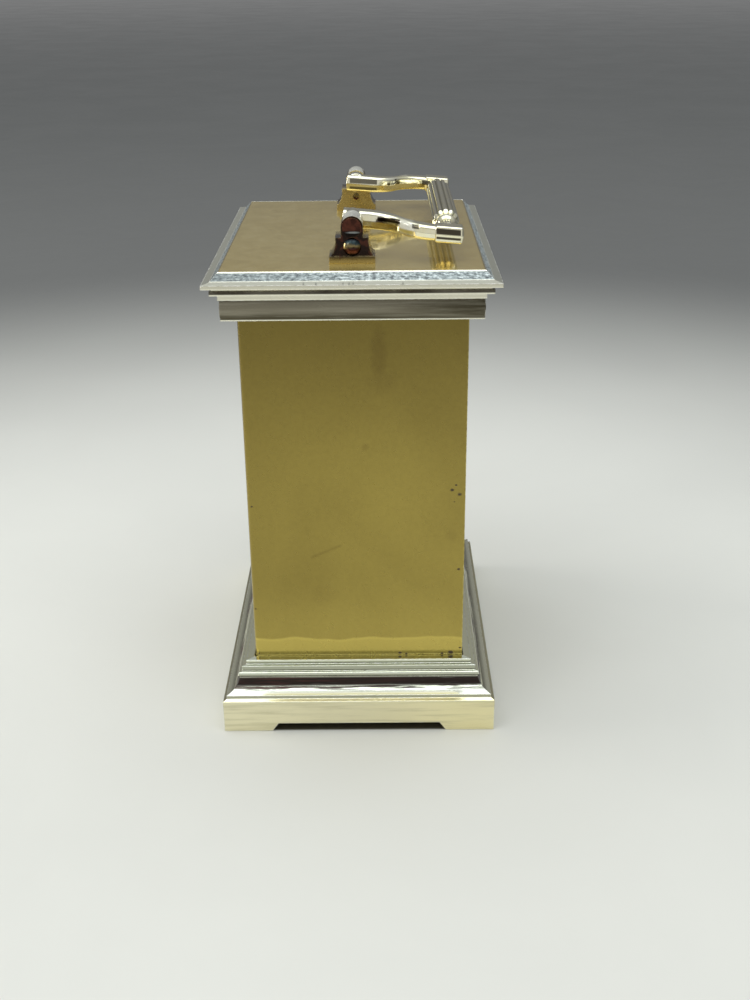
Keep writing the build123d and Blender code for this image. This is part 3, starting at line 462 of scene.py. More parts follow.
makeFloor(floorSetup, worldSetup)
makeWorld(worldSetup)
for lampName, lampValues in lampSetup.items():
    makeLamp(lampName, lampValues)
print("floor, room and lamps set")


# finishes

def addLacquer(shader, weight, rough):
    feed(shader, {"Coat Weight": weight, "Coat Roughness": rough, "Coat IOR": 1.45})


def addBump(shader, height, distance, strength=0.6, normal=None):
    values = {"Height": height, "Distance": distance, "Strength": strength}
    if normal is not None:
        values["Normal"] = normal
    feed(shader, {"Normal": addNode(treeOf(height), "Bump", values).outputs[0]})


def band(tree, span, soft):
    return place(tree, heightBand, low=span[0], high=span[1], soft=soft)


def onEnds(tree):
    # the ends of the mouldings, past their corner miters
    miter = -11.8 * mm  # depth less width along the miters
    x, y, _ = where(tree)
    past = minus(absolute(y), absolute(x))
    return ramp(past, miter - 0.2 * mm, miter + 0.2 * mm)


def dress(material, *names):
    for name in names:
        for slot in nodes[name].material_slots:
            slot.material = material


plinthPlating = {
    "tint": (0.94, 0.885, 0.63),
    "yellow": (0.93, 0.85, 0.50),
    # painted shade on the side faces and the ends
    "ends": (0.56, 0.54, 0.36),
    "endShadeShare": 0.75,
    "pale": (0.86, 0.885, 0.725),
    "shaded": (0.37, 0.385, 0.30),
    "worn": (0.98, 0.98, 0.94),
    "tarnishAndDarkReflection": (0.020, 0.011, 0.007),
    "rust": (0.075, 0.024, 0.020),
    "grime": (0.10, 0.085, 0.05),
    "washed": (0.60, 0.565, 0.385),
    "highlightTint": (0.86, 0.88, 0.80),
    "members": (  # fillet, low step and the foot of the bead
        (9.7 * mm, 10.5 * mm), (15.95 * mm, 17.15 * mm), (14.4 * mm, 15.3 * mm),
    ),
    "corners": ((15.9 * mm, 16.15 * mm), (17.4 * mm, 17.7 * mm)),
    "coveFoot": 10.6 * mm,
    "coveStreaks": 11.3 * mm,
    "coveDark": 12.1 * mm,
    "coveHigh": 14.3 * mm,
    "rough": (0.06, 0.13),
    "relief": 0.04 * mm,
}


def makePlinthPlating(setup):
    material, tree, shader = startFinish("plinthPlating")
    rub = place(tree, edgeRub, radius=0.3 * mm, reach=0.35 * mm)
    drift = place(tree, cloudPatches, scale=35.0, low=0.35, high=0.7)
    _, y, z = where(tree)
    color = mixColor(drift["Mask"], setup["tint"], darker(setup["tint"], 0.93))
    color = lay(color, setup["yellow"], ramp(y, -8 * mm, 38 * mm, 0.0, 0.8))
    wash = place(tree, drawnGrain, stretch=(38.0, 38.0, 800.0), detail=4.0)
    color = lay(color, setup["washed"], ramp(wash, 0.44, 0.68, 0.0, 0.55))
    coveFoot = setup["coveFoot"]
    color = lay(color, setup["pale"], ramp(z, coveFoot - 0.1 * mm, coveFoot + 0.1 * mm))
    # painted shade: the faces towards the sides and the ends past the miters are darker
    ends = ramp(absolute(facing(tree)[1]), 0.3, 0.8, 0.0, setup["endShadeShare"])
    onEnd = onEnds(tree)
    color = lay(color, setup["ends"], most(ends, times(onEnd, setup["endShadeShare"])))
    for span in setup["members"]:
        color = lay(color, setup["shaded"], band(tree, span, 0.12 * mm), share=0.8)
    # painted shade in the grime colour along the inner corners at the foot of the risers
    for span in setup["corners"]:
        color = lay(color, setup["grime"], band(tree, span, 0.06 * mm), share=0.6)
    # a painted highlight on the lower part of the hollow, weaker on the ends
    highlightBand = band(tree, (coveFoot, setup["coveStreaks"]), 0.4 * mm)
    highlightBand = times(highlightBand, between(onEnd, 1.0, 0.2))
    color = lay(color, setup["highlightTint"], highlightBand)
    color = lay(color, setup["worn"], rub["Mask"])
    # dark tarnish and a painted dark reflection high in the hollow, breaking into streaks along the moulding
    # below
    streak = place(tree, drawnGrain, stretch=(70.0, 70.0, 3000.0), detail=4.0)
    solid = band(tree, (setup["coveDark"], setup["coveHigh"]), 0.35 * mm)
    thin = band(tree, (setup["coveStreaks"], setup["coveHigh"]), 0.45 * mm)
    solid = times(solid, ramp(streak, 0.25, 0.4, 0.75, 1.0))
    dark = most(solid, times(thin, ramp(streak, 0.42, 0.56, 0.0, 0.97)))
    color = lay(color, setup["tarnishAndDarkReflection"], dark)
    toFront = ramp(y, 12 * mm, -30 * mm, 0.25, 1.0)
    red = times(ramp(streak, 0.50, 0.60), times(dark, toFront))
    color = lay(color, setup["rust"], red, share=0.8)
    pits = place(tree, pitSpecks, scale=300.0, size=0.16, share=0.10)
    color = lay(color, setup["grime"], pits, share=0.45)
    lines = place(tree, fineScratches, scale=1700.0, cut=0.67)
    rough = plus(spread(drift["Value"], *setup["rough"]), times(lines, 0.10), times(dark, 0.22))
    cover(shader, color, rough, between(most(dark, times(highlightBand, 0.9)), 1.0, 0.5))
    wave = place(tree, cloudPatches, scale=45.0, ragged=0.3)["Value"]
    height = minus(times(wave, 0.6), times(lines, 0.05))
    addBump(shader, height, setup["relief"], 0.5, rub["Normal"])
    return material


cornicePlating = {
    "tint": (0.93, 0.90, 0.74),
    "worn": (0.97, 0.96, 0.90),
    "nickel": (0.30, 0.345, 0.345),
    "bare": (0.66, 0.73, 0.73),
    "scored": (0.085, 0.10, 0.105),
    "dull": (0.27, 0.245, 0.185),
    "friezeShadeTint": (0.075, 0.065, 0.040),
    "grime": (0.04, 0.030, 0.020),
    "lipTint": (0.46, 0.45, 0.37),
    "lipEndTint": (0.24, 0.235, 0.195),
    "frieze": (113.3 * mm, 118.05 * mm),
    "quirk": (119.95 * mm, 120.78 * mm),
    "lipTop": (122.42 * mm, 122.95 * mm),
    "bevel": (123.0 * mm, 124.62 * mm),
    "sideReach": 40.5 * mm,
    "lipEdge": (48 * mm, 122.7 * mm),
    "nicks": (-11.2, -8.3, -2.0, -0.6, 0.35, 11.9),  # depths in mm along the lip, on the photo's side
    "nickSize": (3 * mm, 0.4 * mm, 0.35 * mm),
    "rough": (0.07, 0.14),
    "relief": 0.06 * mm,
}


def makeCornicePlating(setup):
    material, tree, shader = startFinish("cornicePlating")
    rub = place(tree, edgeRub, radius=0.4 * mm, reach=0.4 * mm)
    drift = place(tree, cloudPatches, scale=35.0, low=0.35, high=0.7)
    color = mixColor(drift["Mask"], setup["tint"], darker(setup["tint"], 0.94))
    x, y, z = where(tree)
    # the frieze is dull, streaked along its length and painted dark as a reflection; towards the rear end,
    # the foot and the top it is painted darker still, as shade and dark reflection
    foot, top = setup["frieze"]
    streak = place(tree, drawnGrain, stretch=(60.0, 60.0, 1500.0), detail=4.0)
    sideFace = ramp(absolute(x), setup["sideReach"] - 1.5 * mm, setup["sideReach"])
    toRear = times(ramp(y, 0 * mm, 32 * mm), sideFace)
    toTop = ramp(z, top - 0.8 * mm, top, 0.0, 0.7)
    toFoot = ramp(z, foot + 2.2 * mm, foot + 0.5 * mm, 0.0, 0.9)
    friezeShade = most(toRear, most(toTop, toFoot))
    friezeShade = times(friezeShade, ramp(streak, 0.3, 0.6, 0.8, 1.0))
    dull = times(band(tree, setup["frieze"], 0.12 * mm), ramp(streak, 0.3, 0.6, 0.9, 1.0))
    color = lay(color, mixColor(friezeShade, setup["dull"], setup["friezeShadeTint"]), dull)
    # the sloping top edge is rubbed through to the nickel and covered in fine dashes
    bevel = band(tree, setup["bevel"], 0.12 * mm)
    sparkle = place(tree, drawnGrain, stretch=(2100.0, 900.0, 2100.0), detail=5.0)
    rubbed = mixColor(ramp(sparkle, 0.38, 0.49), setup["scored"], setup["nickel"])
    rubbed = lay(rubbed, setup["bare"], ramp(sparkle, 0.53, 0.62))
    rubbed = lay(rubbed, setup["scored"], ramp(y, 6 * mm, -36 * mm, 0.0, 0.5))
    color = lay(color, rubbed, bevel)
    lipTop = band(tree, setup["lipTop"], 0.08 * mm)
    color = lay(color, mixColor(onEnds(tree), setup["lipTint"], setup["lipEndTint"]), lipTop)
    color = lay(color, setup["worn"], rub["Mask"])
    # the quirk under the lip is painted dark as shade, and dark nicks are marked along the lip's edge
    quirkShadeAndNicks = ramp(drift["Value"], 0.2, 0.6, 0.75, 1.0)
    quirkShadeAndNicks = times(band(tree, setup["quirk"], 0.1 * mm), quirkShadeAndNicks)
    reach, lipHeight = setup["lipEdge"]
    for along in setup["nicks"]:
        center = (reach, along * mm, lipHeight)
        nick = place(tree, markAt, center=center, size=setup["nickSize"], ragged=0.6)
        quirkShadeAndNicks = most(quirkShadeAndNicks, nick)
    color = lay(color, setup["grime"], quirkShadeAndNicks)
    pits = place(tree, pitSpecks, scale=420.0, size=0.15, share=0.08)
    color = lay(color, setup["grime"], pits, share=0.6)
    lines = place(tree, fineScratches, scale=1700.0, cut=0.66)
    scratched = times(lines, between(dull, 1.0, 0.12))
    rough = spread(drift["Value"], *setup["rough"])
    rough = plus(rough, times(scratched, 0.10), times(dull, 0.16), times(lipTop, 0.3))
    rough = plus(rough, times(bevel, ramp(sparkle, 0.35, 0.65, 0.02, 0.3)))
    cover(shader, color, rough, between(most(bevel, lipTop), 1.0, 0.2))
    height = minus(times(bevel, sparkle), times(scratched, 0.15))
    addBump(shader, height, setup["relief"], normal=rub["Normal"])
    return material


handlePlating = {
    "tint": (0.96, 0.93, 0.74),
    "deep": (0.94, 0.88, 0.60),
    "worn": (0.98, 0.97, 0.91),
    "grime": (0.12, 0.10, 0.06),
    "tarnishAndDarkReflection": (0.030, 0.020, 0.014),
    "grooveShade": (0.38, 0.36, 0.20),
    "reeds": 13,
    "tilt": math.radians(5.09),
    "armDarkReflections": [  # place, half sizes and slope of the painted dark reflections on each arm, in mm, and how dark
        ((29.0, 8.8, 133.5), (3.5, 2.7, 0.5), 0.02, 0.97),
        ((34.0, 15.1, 133.2), (2.0, 0.8, 0.5), 0.02, 0.85),
        ((36.2, 22.9, 132.15), (0.9, 2.9, 0.66), 0.089, 0.95),
        ((36.2, 22.9, 130.6), (0.9, 2.9, 0.30), 0.089, 0.95),
        ((22.0, 2.2, 134.05), (1.5, 3.8, 0.62), 0.07, 0.82),
        ((22.0, 2.1, 132.15), (1.5, 3.8, 0.38), 0.07, 0.78),
        ((25.5, 11.8, 133.0), (2.2, 3.6, 0.55), 0.11, 0.65),
        ((27.7, 16.4, 132.1), (1.8, 0.5, 1.3), 0.11, 0.88),
        ((29.6, 20.0, 132.0), (1.5, 1.2, 0.6), 0.11, 0.9),
    ],
    "film": (0.90, 0.885, 0.78),
    "goldReflection": (0.66, 0.54, 0.17),
    "filmSplit": (131.9 * mm, 132.4 * mm),
    "filmAt": (32.5, 12.9, 132.5),  # a cloudy film on the arms' outward bend, golden below as a painted reflection
    "filmHalf": (2.4, 1.8, 1.45),
    "filmSlope": 0.089,
    "rough": (0.05, 0.10),
    "relief": 0.05 * mm,
}


def bothArms(tree, center, half, slope, soft):
    # a band on one arm and its mirror image on the other, in millimetres
    x, y, z = (value * mm for value in center)
    half = tuple(value * mm for value in half)
    bands = [place(tree, bandAt, center=(at, y, z), half=half, slope=slope, soft=soft) for at in (x, -x)]
    return most(*bands)


def addArmReflections(tree, color, setup):
    # a film with a painted golden reflection, and painted dark reflections on the arms and their end blocks,
    # the same on both sides
    film = bothArms(tree, setup["filmAt"], setup["filmHalf"], setup["filmSlope"], 0.6 * mm)
    filmed = mixColor(ramp(where(tree)[2], *setup["filmSplit"]), setup["goldReflection"], setup["film"])
    marks = []
    for center, half, slope, share in setup["armDarkReflections"]:
        marks.append(times(bothArms(tree, center, half, slope, 0.12 * mm), share))
    color = lay(lay(color, filmed, film), setup["tarnishAndDarkReflection"], most(*marks))
    return color, between(film, 1.0, 0.15)


def addReedShade(tree, color, setup):
    # painted shade between the reeds of the grip
    low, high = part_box("handle_grip")
    _, y, z = axes(calcVector("SUBTRACT", objectPoint(tree), (low + high) / 2))
    angle = plus(calc("ARCTAN2", z, y), setup["tilt"])
    ridge = calc("COSINE", times(angle, setup["reeds"]))
    return lay(color, setup["grooveShade"], ramp(ridge, 0.1, 0.95, 0.0, 0.9)), 1.0


def makeHandlePlating(name, setup, addMarks=None):
    material, tree, shader = startFinish(name)
    rub = place(tree, edgeRub, radius=0.22 * mm, reach=0.4 * mm)
    drift = place(tree, cloudPatches, scale=140.0, low=0.4, high=0.65)
    color = mixColor(drift["Mask"], setup["tint"], setup["deep"])
    color = lay(color, setup["worn"], rub["Mask"])
    pits = place(tree, pitSpecks, scale=500.0, size=0.18, share=0.08)
    color = lay(color, setup["grime"], pits, share=0.5)
    metallic = 1.0
    if addMarks:
        color, metallic = addMarks(tree, color, setup)
    lines = place(tree, fineScratches, scale=2600.0, cut=0.67)
    rough = plus(spread(drift["Value"], *setup["rough"]), times(lines, 0.12))
    cover(shader, color, rough, metallic)
    height = minus(times(drift["Value"], 0.4), times(lines, 0.1))
    addBump(shader, height, setup["relief"], 0.5, rub["Normal"])
    return material


panelBrass = {
    "tint": (0.375, 0.292, 0.066),
    "deep": (0.27, 0.205, 0.045),
    "high": (0.22, 0.163, 0.035),
    "lit": (0.66, 0.527, 0.128),
    "smear": (0.15, 0.10, 0.022),
    "corrosion": (0.05, 0.028, 0.010),
    "fresh": (0.85, 0.74, 0.30),
    "side": 39.8 * mm,
    "creaseHeight": 23.8 * mm,
    "creaseSway": 3.4 * mm,
    "tide": (18.9 * mm, 19.6 * mm),
    "seam": (18.3 * mm, 18.8 * mm),
    "marks": [  # depth, height, half sizes along them, how dark: handling smears on the photo's side
        (6.2, 104.0, 2.8, 8.5, 0.42),
        (7.0, 96.5, 5.0, 5.0, 0.16),
        (2.7, 79.2, 1.3, 1.3, 0.25),
        (24.7, 54.5, 2.0, 2.2, 0.16),
        (-8.5, 37.0, 5.0, 4.0, 0.10),
    ],
    "scuff": {
        "center": (39.8 * mm, -8.0 * mm, 50.0 * mm), "half": (2 * mm, 4.0 * mm, 0.30 * mm),
        "slope": -0.44, "soft": 0.5 * mm,
    },
    "scuffShare": 0.34,
    "spots": [  # depth, height, half size of the corroded spots along the rear and lower edges
        (24.6, 67.2, 0.7), (26.4, 66.0, 0.9), (25.6, 68.6, 0.45), (26.6, 44.5, 0.6), (25.2, 63.9, 0.4),
        (11.2, 19.1, 0.8), (25.0, 19.2, 1.0), (27.4, 20.6, 0.5), (12.9, 18.9, 0.5), (22.6, 18.9, 0.55),
        (-27.2, 33.0, 0.4), (-26.8, 63.0, 0.45), (-27.0, 19.2, 0.6),
    ],
    "rough": (0.19, 0.27),
    "lacquer": (0.35, 0.12),  # weight and roughness
    "relief": 0.16 * mm,
}


def sideMark(tree, side, depth, height, wide, high, ragged):
    center = (side, depth * mm, height * mm)
    return place(tree, markAt, center=center, size=(2 * mm, wide * mm, high * mm), ragged=ragged)


def addCreaseHighlight(tree, color, setup):
    # a painted highlight along the crease at the sheet's foot, where it tucks into the base
    point = objectPoint(tree)
    x, _, z = axes(point)
    plan = calcVector("MULTIPLY", point, (1.0, 1.0, 0.0))
    sway = minus(noiseOf(tree, {"Vector": plan, "Scale": 75.0, "Detail": 1.5}), 0.5)
    level = plus(z, times(sway, setup["creaseSway"]))
    crease, side = setup["creaseHeight"], setup["side"]
    foot = ramp(level, crease + 0.2 * mm, crease - 0.3 * mm)
    foot = times(foot, ramp(level, crease - 5.0 * mm, crease, 0.85, 1.0))
    ridge = ramp(level, crease - 0.9 * mm, crease)
    ridge = times(ridge, ramp(level, crease + 0.45 * mm, crease))
    onSide = ramp(absolute(x), side - 0.6 * mm, side - 0.2 * mm, 0.15, 0.62)
    for mask in (foot, ridge):
        color = lay(color, setup["lit"], mask, share=onSide)
    return color


def makePanelBrass(setup):
    material, tree, shader = startFinish("panelBrass")
    rub = place(tree, edgeRub, radius=0.2 * mm, reach=0.5 * mm)
    drift = place(tree, cloudPatches, scale=22.0, low=0.3, high=0.7, ragged=0.5)
    _, y, z = where(tree)
    deep = most(times(drift["Mask"], 0.7), ramp(y, 4 * mm, -30 * mm, 0.0, 0.55))
    color = mixColor(deep, setup["tint"], setup["deep"])
    # darker towards the top: painted shade under the cornice
    color = lay(color, setup["high"], ramp(z, 60 * mm, 118 * mm))
    color = lay(color, setup["lit"], ramp(z, 42 * mm, 24 * mm, 0.0, 0.28))
    lacquer = place(tree, cloudPatches, scale=750.0, low=0.35, high=0.65, ragged=0.7)
    color = lay(color, setup["smear"], lacquer["Mask"], share=0.06)
    for depth, height, wide, high, share in setup["marks"]:
        mark = sideMark(tree, setup["side"], depth, height, wide, high, 1.0)
        color = lay(color, setup["smear"], mark, share)
    scuff = place(tree, bandAt, **setup["scuff"])
    color = lay(color, setup["smear"], scuff, setup["scuffShare"])
    color = addCreaseHighlight(tree, color, setup)
    tide = band(tree, setup["tide"], 0.5 * mm)
    ragged = place(tree, cloudPatches, scale=260.0, low=0.35, high=0.6)["Value"]
    color = lay(color, setup["smear"], tide, share=ramp(ragged, 0.35, 0.6, 0.15, 0.35))
    color = lay(color, setup["fresh"], band(tree, setup["seam"], 0.12 * mm), share=0.75)
    color = lay(color, setup["fresh"], rub["Mask"], share=0.6)
    bright = place(tree, pitSpecks, scale=230.0, size=0.05, share=0.12)
    color = lay(color, setup["fresh"], bright, share=0.5)
    pits = place(tree, pitSpecks, scale=160.0, size=0.06, share=0.10)
    spots = [sideMark(tree, setup["side"], *at, size, 0.7 * size, 1.8) for *at, size in setup["spots"]]
    rust = most(times(pits, 0.6), *spots)
    lines = place(tree, fineScratches, scale=1300.0, cut=0.69)
    rough = plus(spread(lacquer["Value"], *setup["rough"]), times(lines, 0.06), times(rust, 0.4))
    cover(shader, lay(color, setup["corrosion"], rust), rough, between(rust, 1.0, 0.2))
    addLacquer(shader, *setup["lacquer"])
    wave = place(tree, cloudPatches, scale=70.0, ragged=0.35)["Value"]  # the sheet isn't quite flat
    height = plus(wave, times(lacquer["Value"], 0.012))
    addBump(shader, height, setup["relief"], normal=rub["Normal"])
    return material


topBrass = {
    "tint": (0.69, 0.54, 0.19),
    "deep": (0.63, 0.475, 0.145),
    "haze": (0.58, 0.48, 0.245),
    "fresh": (0.95, 0.90, 0.66),
    "grime": (0.22, 0.16, 0.06),
    "rough": (0.05, 0.11),
    "lacquer": (0.3, 0.06),
    "metallic": (0.76, 0.64),  # less under a film of dust
    "relief": 0.05 * mm,
}


def makeTopBrass(setup):
    material, tree, shader = startFinish("topBrass")
    rub = place(tree, edgeRub, radius=0.15 * mm, reach=0.3 * mm)
    drift = place(tree, cloudPatches, scale=26.0, low=0.35, high=0.65)
    color = mixColor(drift["Mask"], setup["tint"], setup["deep"])
    haze = place(tree, cloudPatches, scale=240.0, low=0.45, high=0.7, ragged=0.7)
    color = lay(color, setup["haze"], haze["Mask"], share=0.35)
    dust = place(tree, pitSpecks, scale=420.0, size=0.09, share=0.14)
    color = lay(color, setup["fresh"], dust, share=0.7)
    pits = place(tree, pitSpecks, scale=260.0, size=0.07, share=0.12)
    color = lay(color, setup["grime"], pits, share=0.6)
    lines = place(tree, fineScratches, scale=1500.0, cut=0.67)
    rough = plus(spread(haze["Value"], *setup["rough"]), times(lines, 0.10))
    cover(shader, color, rough, spread(haze["Value"], *setup["metallic"]))
    addLacquer(shader, *setup["lacquer"])
    wave = place(tree, cloudPatches, scale=60.0, ragged=0.35)["Value"]
    height = plus(times(wave, 0.5), times(dust, 0.15))
    addBump(shader, height, setup["relief"], normal=rub["Normal"])
    return material


bracketBrass = {
    "bright": (0.50, 0.40, 0.17),
    "brown": (0.022, 0.011, 0.008),
    "red": (0.085, 0.028, 0.017),
    "worn": (0.60, 0.47, 0.20),
    "crown": (0.62, 0.61, 0.54),
    "aged": (125.2 * mm, 126.8 * mm),
    "outer": (30.5 * mm, 33.2 * mm),
    "crownRise": (133.9 * mm, 134.5 * mm),
    "rough": (0.16, 0.32),
    "relief": 0.03 * mm,
}


def makeBracketBrass(setup):
    material, tree, shader = startFinish("bracketBrass")
    rub = place(tree, edgeRub, radius=0.2 * mm, reach=0.45 * mm)
    x, _, z = where(tree)
    outward = ramp(absolute(x), *setup["outer"])
    raised = ramp(z, *setup["aged"])
    ragged = place(tree, cloudPatches, scale=330.0, low=0.12, high=0.34, ragged=0.7)
    # the upward-facing top of the head is painted pale, as a highlight
    crown = times(ramp(facing(tree)[2], 0.35, 0.75), ramp(z, *setup["crownRise"]))
    aged = times(outward, raised, ragged["Mask"], between(crown, 1.0, 0.1))
    color = lay(mixColor(crown, setup["bright"], setup["crown"]), setup["brown"], aged)
    reds = place(tree, cloudPatches, scale=420.0, low=0.48, high=0.62)
    color = lay(color, setup["red"], aged, share=reds["Mask"])
    color = lay(color, setup["worn"], rub["Mask"], share=0.35)
    metallic = times(between(aged, 1.0, 0.75), between(crown, 1.0, 0.3))
    cover(shader, color, spread(ragged["Value"], *setup["rough"]), metallic)
    addBump(shader, ragged["Value"], setup["relief"], normal=rub["Normal"])
    return material


rivetBrass = {
    "tones": [  # colours banded by height from the foot of the dome up: dark and reddish low, a painted gold reflection, a painted blue-grey highlight, black on top
        (0.08, (0.035, 0.014, 0.012)), (0.26, (0.11, 0.040, 0.042)), (0.42, (0.045, 0.020, 0.020)),
        (0.58, (0.30, 0.23, 0.10)), (0.76, (0.060, 0.090, 0.095)), (0.95, (0.010, 0.010, 0.012)),
    ],
    "low": 126.6 * mm,
    "high": 130.9 * mm,
    "rough": (0.14, 0.3),
    "relief": 0.06 * mm,
}


def makeRivetBrass(setup):
    material, tree, shader = startFinish("rivetBrass")
    rub = place(tree, edgeRub, radius=0.12 * mm, reach=0.3 * mm)
    drift = place(tree, cloudPatches, scale=420.0, low=0.3, high=0.7)["Value"]
    values = {"Value": where(tree)[2], "From Min": setup["low"], "From Max": setup["high"]}
    rise = addNode(tree, "MapRange", values).outputs["Result"]
    bandHeight = plus(rise, times(minus(drift, 0.5), 0.7))
    cover(shader, sweepColors(bandHeight, setup["tones"]), spread(drift, *setup["rough"]), 1.0)
    addBump(shader, drift, setup["relief"], normal=rub["Normal"])
    return material


pinBrass = {
    "brown": (0.060, 0.022, 0.015),
    "red": (0.12, 0.040, 0.025),
    "black": (0.012, 0.008, 0.007),
    "bright": (0.45, 0.28, 0.12),
    "glint": (0.30, 0.32, 0.32),
    "shade": (133.0 * mm, 132.2 * mm),
    "glintAt": (36.1 * mm, 0.3 * mm, 132.25 * mm),
    "glintSize": (1 * mm, 2.2 * mm, 0.34 * mm),
    "rough": (0.25, 0.42),
    "relief": 0.04 * mm,
}


def makePinBrass(setup):
    material, tree, shader = startFinish("pinBrass")
    rub = place(tree, edgeRub, radius=0.12 * mm, reach=0.3 * mm)
    drift = place(tree, cloudPatches, scale=600.0, low=0.4, high=0.62)
    color = mixColor(drift["Mask"], setup["brown"], setup["red"])
    color = lay(color, setup["black"], ramp(where(tree)[2], *setup["shade"]))
    glint = place(tree, markAt, center=setup["glintAt"], size=setup["glintSize"], ragged=0.5)
    color = lay(color, setup["glint"], glint)
    color = lay(color, setup["bright"], rub["Mask"], share=0.25)
    cover(shader, color, spread(drift["Value"], *setup["rough"]), 0.9)
    addBump(shader, drift["Value"], setup["relief"], normal=rub["Normal"])
    return material


zincSteel = {
    "tint": (0.56, 0.57, 0.58), "deep": (0.45, 0.46, 0.47), "fresh": (0.78, 0.79, 0.80),
    "stain": 0.5, "stainTint": (0.34, 0.31, 0.26), "rough": 0.30, "stretch": (1800.0, 1800.0, 300.0),
}
springSteel = {
    "tint": (0.62, 0.61, 0.58), "deep": (0.52, 0.51, 0.49), "fresh": (0.82, 0.82, 0.80),
    "stain": 0.3, "stainTint": (0.42, 0.38, 0.30), "rough": 0.22, "stretch": (300.0, 2200.0, 2200.0),
}
turnedBrass = {
    "tint": (0.72, 0.55, 0.22), "deep": (0.62, 0.45, 0.16), "fresh": (0.90, 0.76, 0.42),
    "stain": 0.5, "stainTint": (0.40, 0.25, 0.09), "rough": 0.25, "stretch": (1500.0, 300.0, 1500.0),
}
ferrite = {
    "tint": (0.075, 0.073, 0.072), "deep": (0.05, 0.05, 0.05), "fresh": (0.20, 0.20, 0.20),
    "stain": 0.4, "stainTint": (0.10, 0.07, 0.05), "rough": 0.48, "stretch": (900.0, 900.0, 900.0),
}


def makeMachinedMetal(name, setup):
    # turned and pressed pieces: drawn grain, light wear, a little staining
    material, tree, shader = startFinish(name)
    rub = place(tree, edgeRub, radius=0.1 * mm, reach=0.25 * mm)
    grain = place(tree, drawnGrain, stretch=setup["stretch"], detail=3.0)
    color = mixColor(spread(grain, 0.0, 1.0), setup["tint"], setup["deep"])
    stain = place(tree, cloudPatches, scale=120.0, low=0.52, high=0.75)
    color = lay(color, setup["stainTint"], stain["Mask"], setup["stain"])
    color = lay(color, setup["fresh"], rub["Mask"], share=0.6)
    rough = spread(grain, setup["rough"] - 0.06, setup["rough"] + 0.08)
    cover(shader, color, rough, 1.0)
    addBump(shader, grain, 0.02 * mm, 0.5, rub["Normal"])
    return material


clearGlass = {"tint": (0.985, 0.99, 0.985), "ior": 1.46}


def makeClearGlass(setup):
    material, tree, shader = startFinish("clearGlass")
    smears = place(tree, cloudPatches, scale=90.0, low=0.55, high=0.75)
    color = mixColor(smears["Mask"], setup["tint"], darker(setup["tint"], 0.985))
    cover(shader, color, ramp(smears["Value"], 0.55, 0.8, 0.0, 0.03))
    feed(shader, {"Transmission Weight": 1.0, "IOR": setup["ior"]})
    return material


dialEnamel = {
    "pale": (0.90, 0.88, 0.81), "aged": (0.84, 0.805, 0.71), "fleck": (0.42, 0.33, 0.22),
    "rough": (0.30, 0.42),
}


def makeDialEnamel(setup):
    material, tree, shader = startFinish("dialEnamel")
    drift = place(tree, cloudPatches, scale=30.0, low=0.35, high=0.7)
    color = mixColor(drift["Mask"], setup["pale"], setup["aged"])
    flecks = place(tree, pitSpecks, scale=260.0, size=0.05, share=0.12)
    color = lay(color, setup["fleck"], flecks, share=0.5)
    cover(shader, color, spread(drift["Value"], *setup["rough"]))
    ripple = place(tree, cloudPatches, scale=1400.0, ragged=0.4)
    addBump(shader, ripple["Value"], 0.012 * mm, 0.5)
    return material


dialInk = {
    "tint": (0.018, 0.017, 0.017), "worn": (0.035, 0.033, 0.031), "scale": 1200.0, "rough": 0.42,
    "tooth": 0.008 * mm,
}
handLacquer = {
    "tint": (0.012, 0.012, 0.014), "worn": (0.030, 0.030, 0.032), "scale": 700.0, "rough": 0.22,
    "tooth": 0.01 * mm,
}


def makePaint(name, setup):
    # brushed or printed colour with a slight tooth
    material, tree, shader = startFinish(name)
    drift = place(tree, cloudPatches, scale=setup["scale"], low=0.35, high=0.65)
    rough = spread(drift["Value"], setup["rough"] - 0.08, setup["rough"] + 0.1)
    cover(shader, mixColor(drift["Mask"], setup["tint"], setup["worn"]), rough)
    addBump(shader, drift["Value"], setup["tooth"])
    return material


blackMoulding = {
    "tint": (0.022, 0.022, 0.024), "deep": (0.016, 0.016, 0.018), "fresh": (0.06, 0.06, 0.062),
    "dust": (0.20, 0.19, 0.17), "rough": 0.42,
}
whiteAcetal = {
    "tint": (0.78, 0.77, 0.72), "deep": (0.70, 0.69, 0.63), "fresh": (0.86, 0.86, 0.83),
    "dust": (0.45, 0.42, 0.36), "rough": 0.38,
}
boardLaminate = {
    "tint": (0.035, 0.12, 0.055), "deep": (0.025, 0.09, 0.04), "fresh": (0.10, 0.22, 0.12),
    "dust": (0.55, 0.55, 0.52), "rough": 0.36,
}


def makeMoulding(name, setup):
    # moulded plastic: fine spark-eroded tooth, rubbed edges, dust
    material, tree, shader = startFinish(name)
    rub = place(tree, edgeRub, radius=0.15 * mm, reach=0.35 * mm)
    tooth = place(tree, cloudPatches, scale=2600.0, ragged=0.6)["Value"]
    drift = place(tree, cloudPatches, scale=60.0, low=0.4, high=0.7)
    color = mixColor(drift["Mask"], setup["tint"], setup["deep"])
    color = lay(color, setup["fresh"], rub["Mask"], share=0.5)
    dust = place(tree, pitSpecks, scale=700.0, size=0.10, share=0.12)
    color = lay(color, setup["dust"], dust, share=0.35)
    rough = spread(tooth, setup["rough"] - 0.07, setup["rough"] + 0.1)
    cover(shader, color, rough)
    addBump(shader, tooth, 0.02 * mm, 0.5, rub["Normal"])
    return material


coilCopper = {
    "tint": (0.62, 0.26, 0.10), "grooveShade": (0.22, 0.07, 0.03), "wire": 0.16 * mm, "rough": (0.22, 0.34),
}


